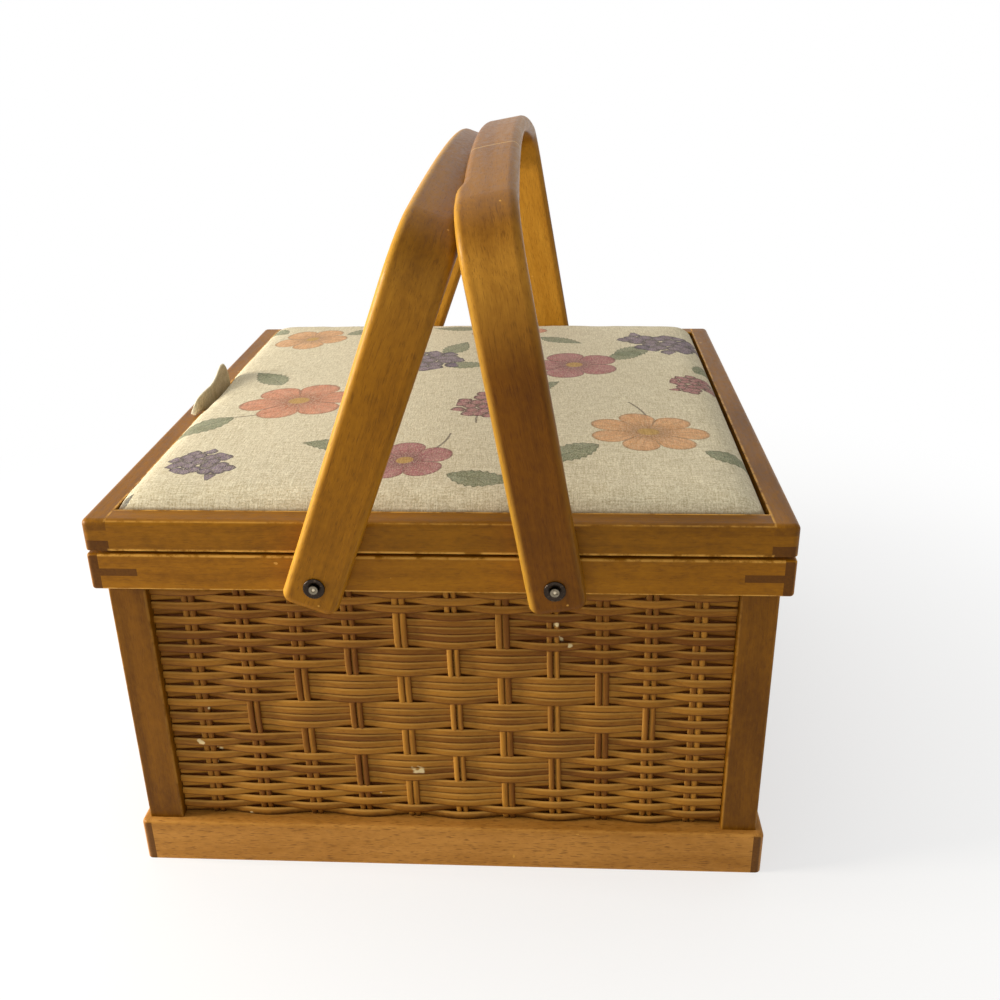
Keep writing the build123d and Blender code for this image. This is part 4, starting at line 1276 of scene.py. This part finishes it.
def make_hardware():
    """Washers and rolled rivets on the handle pivots, and the materials of the other small parts."""
    tree = make_scatter()
    black = metal_material("black_metal", srgb(52, 44, 38), 0.22, 0.3, srgb(120, 100, 78))
    steel = metal_material("pin_metal", srgb(128, 118, 100), 0.25, 0.85, srgb(60, 46, 32))
    rivet = rivet_material(joint_places["right_handle_pivot"])
    brass = metal_material("hinge_metal", srgb(204, 172, 106), 0.3, 0.35, srgb(140, 106, 60))
    washer_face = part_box("handle_washers")[1].y - WASHER_SINK
    pivots = [
        (Vector((joint_places[name].x, side * washer_face, joint_places[name].z)), (0, side, 0))
        for name in ("left_handle_pivot", "right_handle_pivot")
        for side in (-1, 1)
    ]
    washers = place_hardware("pivot_washers", tree, lathe("washer", WASHER_SECTION), pivots, black)
    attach(washers, "basket")
    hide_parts("handle_washers")
    rivets = place_hardware("rolled_rivets", tree, lathe("rivet", RIVET_SECTION), pivots, rivet)
    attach(rivets, "basket")
    for material, names in (
        (brass, ("rim_hinge_leaves", "lid_hinge_leaves", "rim_hinge_screws", "lid_hinge_screws")),
        (steel, ("lid_hinge_pins", "pad_pivot_pins", "handle_rivets")),
        (black, ("handle_spacers",)),
        (felt_material(), ("lid_bumpers",)),
    ):
        for name in names:
            set_material(nodes[name], material)


# ======== stage, light and camera ========

CAMERA_PLACE = (0.05034, -0.54961, 0.36992)
CAMERA_YAW = -0.057944
CAMERA_PITCH = 0.418831
CAMERA_ROLL = -0.016669
CAMERA_LENS = 38.27
LIGHT_AIM = (0, 0, 0.17)
# Square lamps: name, place, size in metres, power in watts and colour.
LIGHTS = [
    ("key", (-1.26, -0.24, 0.45), 0.42, 29, (1.0, 0.94, 0.84)),
    ("fill", (0.3, -1.7, 0.9), 1.4, 3, (1.0, 0.97, 0.92)),
    ("top", (-0.2, 0.3, 1.9), 1.4, 10, (1.0, 0.98, 0.93)),
]
WORLD_LIGHT = 0.42
FLOOR_REACH = 30.0


def place_camera():
    """Camera in front of the carrier, a little to the right of its middle and looking down on the lid."""
    forward = Vector((
        math.sin(CAMERA_YAW) * math.cos(CAMERA_PITCH),
        math.cos(CAMERA_YAW) * math.cos(CAMERA_PITCH),
        -math.sin(CAMERA_PITCH),
    ))
    level = Vector((math.cos(CAMERA_YAW), -math.sin(CAMERA_YAW), 0))
    above = level.cross(forward)
    right = math.cos(CAMERA_ROLL) * level + math.sin(CAMERA_ROLL) * above
    up = -math.sin(CAMERA_ROLL) * level + math.cos(CAMERA_ROLL) * above
    camera = link("camera", bpy.data.cameras.new("camera"))
    camera.data.lens = CAMERA_LENS
    camera.data.sensor_width = 36
    turn = Matrix((right, up, -forward)).transposed()
    camera.matrix_world = Matrix.Translation(CAMERA_PLACE) @ turn.to_4x4()
    bpy.context.scene.camera = camera


def area_light(name, place, size, power, colour):
    """Soft square lamp that faces the carrier."""
    lamp = bpy.data.lights.new(name, "AREA")
    lamp.shape = "SQUARE"
    lamp.size = size
    lamp.energy = power
    lamp.color = colour
    holder = link(name, lamp)
    holder.location = place
    holder.rotation_euler = (Vector(LIGHT_AIM) - Vector(place)).to_track_quat("-Z", "Y").to_euler()


def seen_rays(w):
    """1 for the rays that show a surface: straight to the camera, mirrored or through glass."""
    path = w.node("ShaderNodeLightPath").outputs
    return w.largest(path["Is Camera Ray"], path["Is Glossy Ray"], path["Is Transmission Ray"])


def light_studio():
    """Low soft key from the left and the front, a weak fill, one lamp above, and an even pale world."""
    for light in LIGHTS:
        area_light(*light)
    world = bpy.data.worlds.new("studio")
    bpy.context.scene.world = world
    world.use_nodes = True
    w = Wiring(world.node_tree)
    strength = w.fade(seen_rays(w), 0, 1, WORLD_LIGHT, 1)
    w.feed(world.node_tree.nodes["Background"].inputs, {"Color": (1, 1, 1, 1), "Strength": strength})
    bpy.context.scene.view_settings.view_transform = "Standard"


def lay_floor():
    """Pale floor that fades to white away from the carrier and keeps its shadow."""
    corners = [(FLOOR_REACH * x, FLOOR_REACH * y, 0) for x, y in ((-1, -1), (1, -1), (1, 1), (-1, 1))]
    floor = link("floor", new_mesh("floor", corners, [], [(0, 1, 2, 3)]))
    made, w, surface, place = new_material("pale_floor")
    w.feed(surface, {"Base Color": (0.86, 0.86, 0.85, 1), "Roughness": 0.7})
    away = w.fade(w.vector("LENGTH", place), 0.16, 0.6, 0.62, 1)
    matt = made.node_tree.nodes["Principled BSDF"].outputs[0]
    glow = w.out("ShaderNodeEmission", {"Strength": 1})
    mixed = w.out("ShaderNodeMixShader", {0: w.times(seen_rays(w), away), 1: matt, 2: glow})
    w.feed(made.node_tree.nodes["Material Output"].inputs, {"Surface": mixed})
    set_material(floor, made)


# ======== the carrier ========

dress_timber()
weave_walls()
make_pad()
make_tab()
make_hardware()
lay_floor()
light_studio()
place_camera()

bpy.context.view_layer.update()
